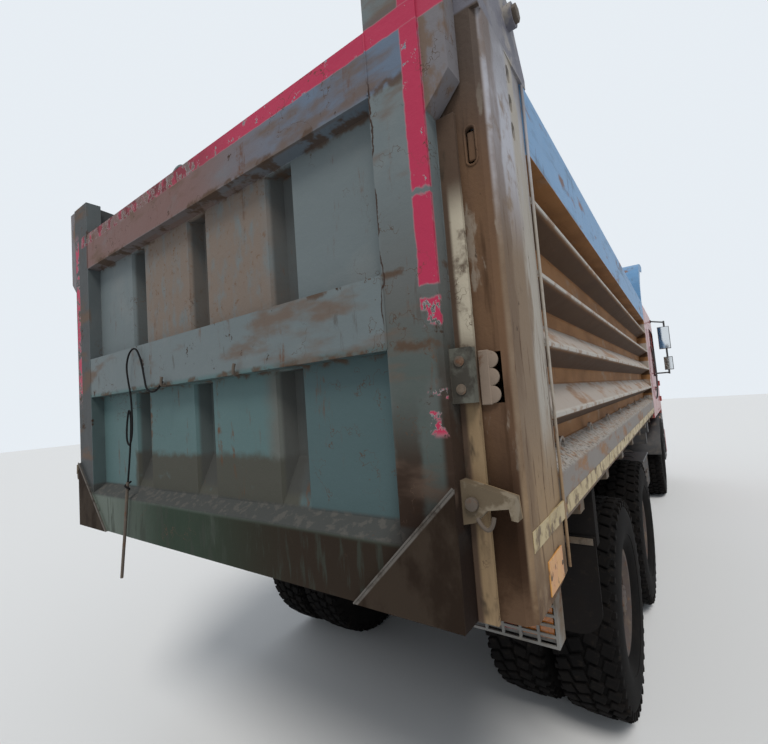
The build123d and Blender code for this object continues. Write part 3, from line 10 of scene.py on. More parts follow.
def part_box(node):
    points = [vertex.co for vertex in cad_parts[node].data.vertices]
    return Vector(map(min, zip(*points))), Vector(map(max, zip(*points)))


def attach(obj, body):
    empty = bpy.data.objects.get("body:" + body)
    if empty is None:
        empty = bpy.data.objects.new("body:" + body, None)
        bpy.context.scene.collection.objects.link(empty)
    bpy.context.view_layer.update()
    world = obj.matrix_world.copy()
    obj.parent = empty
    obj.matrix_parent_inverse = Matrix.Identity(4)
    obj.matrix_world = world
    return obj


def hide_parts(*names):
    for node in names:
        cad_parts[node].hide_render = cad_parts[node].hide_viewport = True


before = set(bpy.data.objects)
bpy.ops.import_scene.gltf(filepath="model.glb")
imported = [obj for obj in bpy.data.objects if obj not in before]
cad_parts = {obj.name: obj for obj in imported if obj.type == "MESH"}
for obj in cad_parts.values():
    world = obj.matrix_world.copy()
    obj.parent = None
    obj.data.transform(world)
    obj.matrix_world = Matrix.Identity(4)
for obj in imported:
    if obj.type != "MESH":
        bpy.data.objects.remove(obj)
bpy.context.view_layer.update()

# Stations of the truck, in metres, as the solids have them
GATE_FACE_Y = 4.25
POST_REAR_Y = 4.17
POST_FRONT_Y = 3.82
POST_FOLD_Y = 3.995
BED_FRONT_Y = -0.9
RIB_CRESTS = (2.364, 2.133, 1.918, 1.698)
LOW_ROW_Z = (1.43, 1.925)
FRONT_AXLE_Y, MID_AXLE_Y, REAR_AXLE_Y = -2.755, 1.07, 2.42
AXLE_Z = 0.56
TWIN_TYRES_X = (1.0625, 0.7125)
SIDES = (("left", 1), ("right", -1))

# Tyre node, rim node, body, place along the truck and tyres' places on each axle
AXLES = (("front_tyre", "front_rim", "front_wheel", FRONT_AXLE_Y, (1.04,)),
         ("mid_tyres", "mid_rims", "mid_wheels", MID_AXLE_Y, TWIN_TYRES_X),
         ("rear_tyres", "rear_rims", "rear_wheels", REAR_AXLE_Y, TWIN_TYRES_X))


# Camera at the photograph's place
def set_camera():
    yaw, pitch, roll = (math.radians(a) for a in (180 + 35.47, 90 + 3.84, -4.29))
    turn = Matrix.Rotation(yaw, 4, "Z") @ Matrix.Rotation(pitch, 4, "X") @ Matrix.Rotation(roll, 4, "Z")
    data = bpy.data.cameras.new("photo_camera")
    data.sensor_fit, data.sensor_width, data.lens = "HORIZONTAL", 36, 19.54
    camera = bpy.data.objects.new("photo_camera", data)
    bpy.context.collection.objects.link(camera)
    camera.matrix_world = Matrix.Translation((-1.5704, GATE_FACE_Y + 0.8847, 1.7838)) @ turn
    bpy.context.scene.camera = camera


# Finishes
class Finish:
    """A material built up as a painter would: a ground colour, then coats laid through masks."""

    def __init__(self, name, color, roughness, metallic=0.0, specular=0.5):
        self.material = bpy.data.materials.new(name)
        self.material.use_nodes = True
        tree = self.material.node_tree
        self.nodes, self.links = tree.nodes, tree.links
        self.shader = self.nodes["Principled BSDF"]
        self.place = self.nodes.new("ShaderNodeTexCoord").outputs["Object"]
        self.color, self.roughness = (*color, 1), roughness
        self.tune("Base Color", self.color)
        self.tune("Roughness", roughness)
        self.tune("Metallic", metallic)
        self.tune("Specular IOR Level", specular)
        self.axes = None

    def tune(self, socket, value):
        self.shader.inputs[socket].default_value = value

    def put(self, socket, value):
        if isinstance(value, bpy.types.NodeSocket):
            self.links.new(value, socket)
        else:
            socket.default_value = value

    def add(self, kind, sockets, **settings):
        """A node with its settings, and with its sockets linked or set."""
        node = self.nodes.new("ShaderNode" + kind)
        for name, value in settings.items():
            setattr(node, name, value)
        for name, value in sockets.items():
            self.put(node.inputs[name], value)
        return node

    def sum(self, operation, a, b=0.0):
        return self.add("Math", {0: a, 1: b}, operation=operation).outputs[0]

    def both(self, *masks):
        return reduce(partial(self.sum, "MULTIPLY"), masks)

    def either(self, *masks):
        return reduce(partial(self.sum, "MAXIMUM"), masks)

    def away(self, mask):
        return self.sum("SUBTRACT", 1.0, mask)

    def fade(self, value, start, end, top=1.0):
        sockets = {"Value": value, "From Min": start, "From Max": end, "To Max": top}
        return self.add("MapRange", sockets, interpolation_type="SMOOTHSTEP").outputs[0]

    def grain(self, scale, detail=4.0, stretch=(1, 1, 1), rough=0.6, shift=0.0):
        start = (shift, shift * 0.7, shift * 1.3)
        spread = self.add("Mapping", {"Vector": self.place, "Scale": stretch, "Location": start}).outputs[0]
        noise = {"Vector": spread, "Scale": scale, "Detail": detail, "Roughness": rough}
        return self.add("TexNoise", noise).outputs["Fac"]

    def blotch(self, scale, start, end, **words):
        return self.fade(self.grain(scale, **words), start, end)

    def spared(self, amount, scale, start, end, **words):
        """1 everywhere but in blotches, where it is less by amount."""
        return self.away(self.both(self.blotch(scale, start, end, **words), amount))

    def axis(self, letter):
        if self.axes is None:
            self.axes = self.add("SeparateXYZ", {0: self.place}).outputs
        return self.axes[letter]

    def wander(self, value, size, scale, **words):
        """A value that a noise moves to and fro."""
        noise = self.sum("SUBTRACT", self.grain(scale, **words), 0.5)
        return self.sum("ADD", value, self.sum("MULTIPLY", noise, size))

    def within(self, letter, low, high, soft=0.004, wobble=0.0, scale=9.0):
        """1 between low and high along an axis; wobble makes the edges wander."""
        value = self.axis(letter)
        if wobble:
            value = self.wander(value, wobble, scale)
        start, end = (self.fade(value, edge - soft, edge + soft) for edge in (low, high))
        return self.both(start, self.away(end))

    def beyond(self, letter, start, end):
        return self.fade(self.axis(letter), start, end)

    def before(self, letter, start, end):
        return self.away(self.beyond(letter, start, end))

    def outward(self, start, end):
        """1 beyond a distance from the middle, on the left and on the right."""
        return self.fade(self.sum("ABSOLUTE", self.axis("X")), start, end)

    def region(self, soft=0.01, wobble=0.0, scale=9.0, **spans):
        """1 inside the spans given by axis, such as X=(low, high)."""
        return self.both(*[self.within(letter, *span, soft, wobble, scale) for letter, span in spans.items()])

    def scratches(self, scale, width, shift):
        """Thin wandering lines: where a noise crosses its middle value."""
        off = self.sum("ABSOLUTE", self.sum("SUBTRACT", self.grain(scale, detail=5, shift=shift), 0.5))
        return self.away(self.fade(off, width * 0.4, width))

    def coat(self, color, roughness, *masks):
        """A coat through the product of masks; where roughness is None it stays as it was."""
        mask = self.both(*masks)
        mix = self.add("Mix", {"Factor": mask, "A": self.color, "B": (*color, 1)}, data_type="RGBA")
        self.color = mix.outputs["Result"]
        if roughness is not None:
            blend = self.add("Mix", {"Factor": mask, "A": self.roughness, "B": roughness})
            self.roughness = blend.outputs["Result"]

    def dents(self, height, strength, depth):
        bump = self.add("Bump", {"Strength": strength, "Distance": depth, "Height": height})
        self.links.new(bump.outputs[0], self.shader.inputs["Normal"])

    def done(self):
        self.put(self.shader.inputs["Base Color"], self.color)
        self.put(self.shader.inputs["Roughness"], self.roughness)
        return self.material


RUST = (0.105, 0.045, 0.02)
DARK_RUST = (0.038, 0.02, 0.011)
WET_RUST = (0.034, 0.02, 0.013)
DUST = (0.245, 0.195, 0.145)
MUD = (0.12, 0.088, 0.06)
STRIPE_RED = (0.38, 0.026, 0.07)
CHIP = (0.33, 0.36, 0.36)


def gate_paint():
    """Grey-green paint of the tailgate: dusty flats, darker feet, painted shade in the grooves, a bottom rail
    and lower corner darkened by rust and painted shade, a painted highlight on the gussets' edges and a
    peeling stripe.
    """
    f = Finish("gate_paint", (0.125, 0.15, 0.157), 0.6, specular=0.2)
    face = f.beyond("Y", 4.235, 4.245)
    sheet = f.before("Y", 4.215, 4.225)
    f.coat((0.165, 0.178, 0.178), None, f.blotch(5, 0.5, 0.75, shift=3), 0.5)
    f.coat((0.078, 0.132, 0.135), None, f.region(Z=LOW_ROW_Z))
    f.coat((0.056, 0.09, 0.096), None, f.region(0.02, X=(-0.96, -0.52), Z=LOW_ROW_Z), 0.85)
    dusty = f.both(f.region(0.07, 0.2, 4, X=(-0.45, 0.47)), f.within("Z", 2.1, 2.62, 0.03), sheet)
    f.coat((0.168, 0.135, 0.113), 0.85, dusty, f.blotch(16, 0.25, 0.55, stretch=(1, 1, 0.5)))
    f.coat((0.135, 0.075, 0.044), 0.9, dusty, f.blotch(60, 0.57, 0.7, detail=6),
           f.blotch(5, 0.4, 0.6, shift=5))
    f.coat((0.12, 0.096, 0.078), 0.9, f.region(0.05, 0.12, 5, X=(-0.53, -0.4), Z=(1.45, 1.92)), sheet, 0.6)
    foot = f.both(f.region(0.02, 0.07, 14, X=(-0.52, 0.6), Z=(1.3, 1.62)), sheet)
    f.coat((0.064, 0.064, 0.053), 0.95, foot, f.blotch(14, 0.1, 0.4))
    # Painted shade in the grooves' recesses
    grooves = f.both(f.before("Y", 4.172, 4.186), f.within("X", -0.6, 0.6, 0.01), f.beyond("Z", 1.46, 1.5))
    f.coat((0.046, 0.047, 0.045), 0.85, grooves, 0.75)
    top = f.within("Z", 2.603, 2.81, 0.008)
    leftward = f.beyond("X", -0.8, 0.05)
    f.coat((0.106, 0.14, 0.195), None, top, f.away(leftward))
    f.coat((0.15, 0.086, 0.078), None, top, leftward, f.blotch(6, 0.15, 0.5, stretch=(0.5, 1, 1)))
    left = f.beyond("X", 0.945, 0.965)
    f.coat((0.052, 0.056, 0.058), None, left)
    right = f.before("X", -0.965, -0.945)
    f.coat((0.096, 0.098, 0.094), None, right, f.before("Z", 1.95, 2.45))
    f.coat((0.066, 0.082, 0.076), 0.7, right, f.before("Z", 1.8, 2.1), f.blotch(5, 0.2, 0.5))
    lower = f.before("Z", 1.58, 1.82)
    f.coat(WET_RUST, 0.9, f.region(0.012, 0.05, 12, X=(-1.032, -0.95)), lower,
           f.blotch(12, 0.0, 0.45, stretch=(1.6, 1, 0.4)))
    edge = f.before("X", -1.106, -1.086)
    f.coat(WET_RUST, 0.9, edge, f.before("Z", 1.7, 2.05), f.blotch(10, 0.1, 0.5))
    brown = f.blotch(4.5, 0.5, 0.66, stretch=(0.6, 1, 1.6), shift=2)
    f.coat((0.12, 0.08, 0.058), 0.85, face, brown, 0.8)
    streaks = f.blotch(7, 0.58, 0.7, stretch=(2.6, 1, 0.35), detail=7, rough=0.7)
    f.coat(RUST, 0.9, streaks, f.blotch(30, 0.4, 0.6), 0.8)
    f.coat(DARK_RUST, 0.9, face, f.blotch(11, 0.62, 0.67, detail=9, rough=0.75, shift=7))
    drips = f.blotch(15, 0.6, 0.7, stretch=(2.2, 1, 0.45), detail=8, shift=8)
    f.coat((0.07, 0.058, 0.05), 0.85, f.region(0.02, Z=(1.93, 2.112)), face, drips, 0.6)
    # Rust along the rails' edges, partly a painted shadow under the rails' lower edges
    crust_and_shadow = f.either(f.within("Z", 2.592, 2.616, 0.008, 0.05, 18),
                     f.within("Z", 1.902, 1.924, 0.008, 0.05, 20),
                     f.both(f.within("Z", 2.098, 2.116, 0.006, 0.03, 20), f.before("X", -0.7, -0.4)))
    f.coat((0.075, 0.045, 0.028), 0.9, crust_and_shadow, f.blotch(9, 0.48, 0.58, shift=4), 0.85)
    shelf = f.within("Z", 1.402, 1.462, 0.008)
    f.coat((0.052, 0.055, 0.053), 0.9, shelf, f.before("Y", 4.256, 4.258))
    f.coat((0.105, 0.098, 0.088), 0.95, shelf, f.blotch(34, 0.5, 0.62), 0.5)
    # Bottom rail: its own teal, then dark coats that are partly grime and rust, partly painted shade near the
    # ground
    low = f.within("Z", 1.2, 1.412, 0.01)
    f.coat((0.11, 0.132, 0.114), 0.75, low)
    middle = f.before("X", 0.2, 0.85)
    f.coat((0.02, 0.034, 0.022), 0.8, low, middle, f.blotch(6, 0.05, 0.42, stretch=(1.6, 1, 0.4), detail=6))
    f.coat((0.02, 0.013, 0.008), 0.95, low, f.before("X", -0.62, 0.1), f.blotch(5, -0.1, 0.35, detail=7))
    wet = f.blotch(12, 0.53, 0.64, stretch=(2.4, 1, 0.35), detail=7, shift=12)
    f.coat((0.028, 0.034, 0.026), 0.75, low, wet, 0.7)
    # Near-black lower corner: rust and painted shade
    corner = f.both(f.before("X", -1.02, -0.86), f.before("Z", 1.38, 1.7))
    f.coat((0.009, 0.0035, 0.0015), 0.95, corner, f.blotch(8, -0.2, 0.3))
    plate = f.beyond("Y", 4.254, 4.258)
    f.coat((0.015, 0.008, 0.004), 0.95, plate)
    f.coat((0.03, 0.02, 0.013), 0.9, plate, f.blotch(9, 0.42, 0.6, detail=7, stretch=(1, 1, 0.6)))
    # Painted highlight along the gusset plates' slanted edge
    slant = f.sum("SUBTRACT", f.axis("Z"), f.sum("ABSOLUTE", f.axis("X")))
    f.coat((0.11, 0.1, 0.09), 0.8, plate, f.fade(slant, 0.436, 0.441), f.blotch(12, 0.3, 0.5))
    paint_gate_side(f)
    paint_stripe(f, face)
    seam = f.wander(f.axis("X"), 0.055, 7, detail=7, shift=21)
    split = f.both(f.fade(seam, -0.9585, -0.9555), f.away(f.fade(seam, -0.954, -0.951)),
                   f.within("Z", 1.98, 2.64, 0.03))
    f.coat((0.04, 0.024, 0.018), 0.9, split)
    f.coat((0.075, 0.048, 0.034), 0.9, f.scratches(4.5, 0.0035, 31), f.blotch(3, 0.5, 0.6, shift=17), 0.85)
    f.dents(f.sum("ADD", f.grain(6, detail=2), f.sum("MULTIPLY", f.grain(70, detail=6), 0.18)), 0.5, 0.012)
    return f.done()


def paint_gate_side(f):
    """The gate's flange with its painted sheen, and the cheek, bracket and hook beside the post."""
    beside = f.outward(1.119, 1.122)
    f.coat((0.08, 0.052, 0.036), 0.85, beside)
    proud = f.beyond("Y", 4.194, 4.198)
    flange = f.both(beside, f.away(proud))
    outer = f.outward(1.13, 1.142)
    # Pale dust with a painted sheen down the flange's outer part
    chalk_and_sheen = f.both(flange, outer, f.within("Z", 1.9, 2.27, 0.06), f.spared(0.9, 9, 0.5, 0.62, detail=8))
    f.coat((0.43, 0.385, 0.3), 0.6, chalk_and_sheen)
    # Painted golden highlight on the flange's lower outer part
    f.coat((0.25, 0.175, 0.1), 0.75, flange, outer, f.within("Z", 1.2, 1.76, 0.02),
           f.blotch(9, 0.2, 0.5, stretch=(2, 1, 0.3)))
    f.coat((0.046, 0.034, 0.024), 0.9, flange, f.blotch(10, 0.54, 0.64, stretch=(1, 1, 0.4), shift=13))
    cheek = f.both(beside, f.beyond("Z", 2.488, 2.494))
    f.coat((0.15, 0.142, 0.152), 0.6, cheek)
    f.coat((0.14, 0.1, 0.078), 0.85, cheek, f.blotch(13, 0.48, 0.6, detail=8, stretch=(1, 1, 0.5)))
    bracket = f.both(beside, f.within("Z", 1.758, 1.898, 0.002), proud)
    f.coat((0.105, 0.105, 0.088), 0.8, bracket)
    f.coat((0.045, 0.041, 0.034), 0.88, bracket, f.blotch(12, 0.42, 0.56, detail=7))
    hook = f.both(beside, f.within("Z", 1.47, 1.59, 0.002), proud)
    f.coat((0.115, 0.088, 0.058), 0.9, hook)
    f.coat((0.2, 0.165, 0.12), 0.9, hook, f.blotch(20, 0.5, 0.62, detail=7))


def paint_stripe(f, face):
    """The warning stripe down the right member, along the top rail and on the left member, partly peeled."""
    peel = f.grain(26, detail=8, rough=0.7, stretch=(1, 1, 0.7), shift=11)
    worn_low = f.sum("ADD", peel, f.fade(f.axis("Z"), 2.3, 1.75, 0.09))
    gaps = f.either(f.within("Z", 2.286, 2.3, 0.004, 0.05, 20), f.within("Z", 2.024, 2.056, 0.004, 0.03, 20),
                    f.within("Z", 1.8, 1.96, 0.006, 0.05, 16))
    clumps = f.either(f.beyond("Z", 1.99, 2.0), f.blotch(15, 0.47, 0.53, shift=16))
    down = f.both(f.within("X", -1.12, -1.066, 0.003, 0.012, 24), f.beyond("Z", 1.68, 1.7), face,
                  f.away(gaps), clumps)
    worn_top = f.sum("ADD", peel, f.fade(f.axis("X"), -0.55, 0.45, 0.125))
    along = f.both(f.within("Z", 2.734, 2.792, 0.003, 0.01, 20), f.before("X", 1.0, 1.05), face)
    aside = f.both(f.within("X", 1.07, 1.112, 0.003, 0.012, 24), f.within("Z", 1.9, 2.79, 0.05), face)
    for line, worn, limit in ((down, worn_low, 0.62), (along, worn_top, 0.61), (aside, peel, 0.5)):
        f.coat(CHIP, 0.6, line, f.away(f.fade(worn, limit + 0.02, limit + 0.035)), 0.7)
        f.coat(STRIPE_RED, 0.5, line, f.away(f.fade(worn, limit, limit + 0.015)))
    dull = f.both(along, f.away(f.fade(worn_top, 0.61, 0.625)), f.beyond("X", -0.5, 0.2))
    f.coat((0.125, 0.028, 0.034), 0.7, dull, f.blotch(18, 0.25, 0.55))


def wall_paint():
    """Brown, dusty side walls: dust and painted top light on each rib, a painted highlight along its ridge,
    painted shadow under it, and a pale top rail with a painted blue sky reflection.
    """
    f = Finish("wall_paint", (0.25, 0.118, 0.042), 0.8, specular=0.3)
    f.coat((0.19, 0.088, 0.032), 0.85, f.blotch(5, 0.35, 0.65, stretch=(1, 0.6, 1.2)))
    worn_patch = f.blotch(9, 0.57, 0.68, stretch=(1, 0.35, 1), detail=8)
    f.coat((0.225, 0.168, 0.122), 0.7, worn_patch, f.blotch(2.2, 0.4, 0.6), 0.8)
    outside = f.outward(1.164, 1.168)
    # Upper faces of the ribs: dust, lightened as painted top light
    slopes = f.either(*[f.within("Z", z + 0.006, z + 0.1, 0.006) for z in RIB_CRESTS])
    f.coat((0.305, 0.262, 0.226), 0.6, slopes, outside, f.spared(0.7, 10, 0.5, 0.64, stretch=(1, 0.5, 1)))
    # Painted highlight along each rib's ridge
    crest = f.either(*[f.within("Z", z - 0.008, z + 0.012, 0.003) for z in RIB_CRESTS])
    f.coat((0.36, 0.335, 0.3), 0.55, crest, outside, f.spared(0.6, 15, 0.5, 0.6))
    # Painted shadow under each rib
    under = f.either(*[f.within("Z", z - 0.066, z - 0.01, 0.006) for z in RIB_CRESTS])
    f.coat((0.026, 0.012, 0.005), 0.85, under, outside, 0.85)
    # Painted reflection: the top rail's pale paint tinted blue by a painted sky reflection, in streaks
    rail = f.beyond("Z", 2.513, 2.518)
    f.coat((0.112, 0.25, 0.44), 0.45, rail, f.spared(0.8, 7, 0.56, 0.66, detail=9, stretch=(1, 0.4, 1.4)))
    streaky = f.both(rail, outside, f.blotch(10, 0.52, 0.66, stretch=(1, 0.25, 1.6), detail=8, shift=19))
    f.coat((0.096, 0.178, 0.285), 0.55, streaky)
    low = f.both(f.before("Z", 1.532, 1.54), outside)
    f.coat((0.185, 0.165, 0.15), 0.65, low, f.spared(0.8, 9, 0.5, 0.64, detail=9, stretch=(1, 0.4, 1.3)))
    foot = f.both(f.before("Z", 1.398, 1.404), outside)
    f.coat((0.1, 0.064, 0.042), 0.85, foot, 0.8)
    gravel = f.both(f.within("Z", 1.528, 1.606, 0.008, 0.02, 30), outside)
    f.coat((0.3, 0.285, 0.265), 0.95, gravel, f.blotch(40, 0.3, 0.55))
    f.coat((0.115, 0.1, 0.085), 0.95, gravel, f.blotch(90, 0.54, 0.62, detail=3))
    runs = f.blotch(14, 0.6, 0.7, stretch=(1, 1.8, 0.22), detail=8, rough=0.7)
    f.coat(RUST, 0.9, runs, 0.75)
    f.coat(DARK_RUST, 0.9, f.blotch(24, 0.64, 0.7, detail=9, rough=0.75, shift=6), f.blotch(3, 0.45, 0.6))
    f.dents(f.sum("ADD", f.grain(4, detail=2), f.sum("MULTIPLY", f.grain(80, detail=5), 0.2)), 0.5, 0.014)
    return f.done()


def post_paint():
    """The rear posts: rust-brown on the rear face, chalky and worn on the side, with painted highlights
    there.
    """
    f = Finish("post_paint", (0.095, 0.053, 0.033), 0.85, specular=0.22)
    f.coat((0.13, 0.073, 0.04), 0.9, f.blotch(5, 0.35, 0.62, stretch=(1, 1, 0.4)))
    f.coat((0.05, 0.025, 0.012), 0.9, f.blotch(9, 0.5, 0.64, stretch=(1.8, 1, 0.22), shift=4), 0.85)
    f.coat((0.23, 0.19, 0.15), 0.8, f.blotch(13, 0.59, 0.66, detail=9, stretch=(1.4, 1, 0.4)), 0.8)
    side = f.before("Y", 4.15, 4.16)
    f.coat((0.056, 0.045, 0.04), 0.7, f.beyond("Z", 2.3, 2.65), f.away(side), 0.8)
    f.coat((0.026, 0.011, 0.004), 0.9, f.before("Z", 1.45, 1.8),
           f.blotch(7, 0.05, 0.45, stretch=(1.5, 1, 0.3)))
    f.coat((0.2, 0.145, 0.1), 0.8, side)
    # Side: pale dust with bluish-white painted highlights up top, and pale beige further forward, partly a
    # painted highlight
    upper = f.both(side, f.beyond("Z", 2.1, 2.45), f.spared(0.85, 7, 0.54, 0.66, detail=8))
    f.coat((0.38, 0.385, 0.43), 0.6, upper)
    f.coat((0.2, 0.196, 0.215), 0.6, side, f.beyond("Z", 2.5, 2.75), f.blotch(6, 0.2, 0.5))
    front = f.both(side, f.before("Y", 3.955, 3.995))
    pale = f.both(front, f.spared(0.9, 6, 0.5, 0.62, detail=9, stretch=(1, 1.3, 0.4)))
    f.coat((0.335, 0.305, 0.265), 0.6, pale, f.beyond("Z", 1.45, 1.75))
    f.coat((0.265, 0.183, 0.108), 0.85, side, f.before("Z", 1.45, 1.75), f.blotch(7, 0.2, 0.5))
    near_edge = f.both(f.within("Y", 4.085, 4.15, 0.01, 0.05, 9), side,
                       f.blotch(6, 0.35, 0.55, stretch=(1, 1, 0.4), shift=2))
    f.coat((0.12, 0.078, 0.052), 0.88, near_edge, 0.6)
    runs = f.both(side, f.blotch(16, 0.56, 0.66, stretch=(1, 2.6, 0.25), detail=8, shift=5),
                  f.before("Z", 1.9, 2.5))
    f.coat((0.085, 0.048, 0.028), 0.9, runs, 0.85)
    ear = f.beyond("Z", 2.75, 2.76)
    f.coat((0.14, 0.138, 0.165), 0.6, ear, f.spared(0.7, 12, 0.5, 0.62))
    foot = f.before("Z", 1.27, 1.4)
    f.coat((0.095, 0.055, 0.032), 0.9, foot, f.blotch(8, 0.3, 0.55, detail=7))
    f.coat(DARK_RUST, 0.9, f.blotch(22, 0.63, 0.69, detail=9, rough=0.75, stretch=(1, 1, 0.5), shift=9))
    f.dents(f.sum("ADD", f.grain(5, detail=2), f.sum("MULTIPLY", f.grain(75, detail=6), 0.25)), 0.55, 0.012)
    return f.done()


def worn_steel(name, color, dust):
    f = Finish(name, color, 0.7, specular=0.3)
    f.coat(MUD, 0.92, f.blotch(6, 0.7 - dust * 0.5, 0.9 - dust * 0.4))
    f.coat(RUST, 0.9, f.blotch(15, 0.57, 0.66, detail=8, shift=3), 0.8)
    f.coat(DUST, 0.95, f.blotch(28, 0.52, 0.75, detail=7, shift=8), dust * 0.6)
    f.dents(f.grain(60, detail=5), 0.3, 0.003)
    return f.done()


def cab_red():
    f = Finish("cab_red", (0.27, 0.022, 0.018), 0.34)
    f.coat((0.21, 0.022, 0.019), 0.4, f.blotch(3, 0.4, 0.7))
    f.coat((0.15, 0.085, 0.065), 0.85, f.before("Z", 0.9, 1.6), f.blotch(9, 0.4, 0.7), 0.75)
    f.coat((0.21, 0.13, 0.105), 0.8, f.blotch(20, 0.6, 0.8, stretch=(1, 1, 0.4)), 0.35)
    f.coat(DARK_RUST, 0.9, f.blotch(30, 0.7, 0.74, detail=9), 0.9)
    f.tune("Coat Weight", 0.25)
    return f.done()


def rubber(name, color=(0.006, 0.0055, 0.0055)):
    f = Finish(name, color, 0.9, specular=0.08)
    f.coat((0.012, 0.01, 0.009), 0.92, f.blotch(7, 0.42, 0.75), 0.7)
    f.coat((0.024, 0.019, 0.015), 0.95, f.blotch(34, 0.56, 0.72, detail=6, shift=4), 0.5)
    f.dents(f.grain(120, detail=3), 0.25, 0.0015)
    return f.done()


def plastic(name, color, roughness, dust):
    f = Finish(name, color, roughness)
    f.coat(DUST, 0.9, f.blotch(11, 0.45, 0.8, detail=6), dust)
    f.dents(f.grain(300, detail=2), 0.12, 0.0006)
    return f.done()


def metal(name, color, roughness):
    f = Finish(name, color, roughness, 1.0)
    f.coat(tuple(c * 0.7 for c in color), roughness + 0.15, f.blotch(12, 0.4, 0.7))
    f.coat(MUD, 0.85, f.blotch(24, 0.6, 0.72), 0.5)
    return f.done()


def cab_inside():
    """Seat cloth, with moulded plastic on the dashboard and a carpeted tunnel side."""
    f = Finish("cab_inside", (0.055, 0.058, 0.065), 0.9)
    f.coat((0.03, 0.03, 0.034), 0.95, f.blotch(220, 0.4, 0.6, detail=2))
    piping = f.either(*[f.within("X", x - 0.004, x + 0.004, 0.001) for x in (-0.86, -0.54, 0.54, 0.86)])
    f.coat((0.11, 0.105, 0.1), 0.7, piping, f.beyond("Y", -3.4, -3.38))
    dash = f.before("Y", -3.66, -3.64)
    f.coat((0.07, 0.072, 0.075), 0.55, dash)
    f.coat((0.035, 0.036, 0.038), 0.45, dash, f.beyond("Z", 1.775, 1.785))
    f.coat(DUST, 0.95, f.blotch(10, 0.5, 0.8), 0.25)
    f.dents(f.grain(400, detail=2), 0.3, 0.001)
    return f.done()


def window_glass():
    f = Finish("window_glass", (0.5, 0.58, 0.58), 0.06)
    f.tune("Transmission Weight", 0.9)
    f.tune("Alpha", 0.45)
    f.coat((0.42, 0.4, 0.36), 0.4, f.blotch(8, 0.5, 0.85), 0.4)
    return f.done()


def lamp_glass(name, color, clear=0.35):
    f = Finish(name, color, 0.12)
    f.tune("Transmission Weight", clear)
    f.tune("Coat Weight", 0.6)
    f.coat(tuple(c * 0.75 for c in color), None, f.blotch(90, 0.45, 0.6, detail=1))
    f.coat(DUST, 0.8, f.blotch(14, 0.5, 0.8), 0.35)
    return f.done()


def strip_tape():
    """Reflective tape: yellow, dulled by dust, with a fine diamond weave and scuffs."""
    f = Finish("strip_tape", (0.4, 0.31, 0.155), 0.45)
    f.coat((0.3, 0.225, 0.115), 0.6, f.blotch(12, 0.4, 0.7))
    weave = f.sum("FRACT", f.sum("MULTIPLY", f.sum("ADD", f.axis("Y"), f.axis("Z")), 90.0))
    f.coat((0.48, 0.4, 0.24), 0.4, f.fade(weave, 0.8, 0.9), 0.5)
    f.coat((0.12, 0.085, 0.06), 0.9, f.blotch(16, 0.5, 0.62, detail=8), 0.9)
    return f.done()


def reflector_plate():
    f = Finish("reflector_plate", (0.46, 0.175, 0.022), 0.4)
    f.coat((0.52, 0.25, 0.05), 0.5, f.blotch(14, 0.4, 0.6, stretch=(1, 1, 0.5)))
    f.coat((0.15, 0.08, 0.04), 0.85, f.blotch(20, 0.56, 0.66, detail=8), 0.8)
    f.tune("Coat Weight", 0.3)
    return f.done()


def mirror_glass():
    f = Finish("mirror_glass", (0.72, 0.74, 0.75), 0.04, 1.0)
    f.coat((0.45, 0.42, 0.38), 0.35, f.blotch(16, 0.6, 0.8), 0.4)
    return f.done()


FINISHES = {
    "gate": gate_paint(), "wall": wall_paint(), "post": post_paint(), "red": cab_red(),
    "floor": worn_steel("bed_steel", (0.115, 0.095, 0.078), 0.75),
    "frame": worn_steel("frame_black", (0.026, 0.025, 0.026), 0.42),
    "wheel": worn_steel("wheel_steel", (0.06, 0.045, 0.04), 0.42),
    "iron": worn_steel("engine_iron", (0.085, 0.088, 0.092), 0.35),
    "guard": worn_steel("guard_grey", (0.18, 0.175, 0.165), 0.5),
    "rusty": worn_steel("striker_rust", (0.215, 0.165, 0.128), 0.45),
    "bolt": worn_steel("bolt_steel", (0.09, 0.072, 0.058), 0.5),
    "tank": metal("tank_alloy", (0.56, 0.57, 0.58), 0.38),
    "chrome": metal("rod_chrome", (0.72, 0.72, 0.74), 0.12),
    "zinc": metal("zinc", (0.42, 0.42, 0.41), 0.45),
    "black": plastic("black_plastic", (0.03, 0.03, 0.032), 0.5, 0.25),
    "grey": plastic("trim_grey", (0.115, 0.118, 0.122), 0.6, 0.2),
    "inside": cab_inside(), "glass": window_glass(), "mirror": mirror_glass(),
    "tyre": rubber("tyre_rubber"), "flap": rubber("flap_rubber", (0.01, 0.009, 0.009)),
    "seal": rubber("seal_rubber", (0.012, 0.012, 0.013)),
    "clear_lens": lamp_glass("clear_lens", (0.72, 0.74, 0.75), 0.6),
    "red_lens": lamp_glass("red_lens", (0.42, 0.013, 0.01)),
    "amber_lens": lamp_glass("amber_lens", (0.62, 0.19, 0.02)),
    "tape": strip_tape(), "orange": reflector_plate(),
}

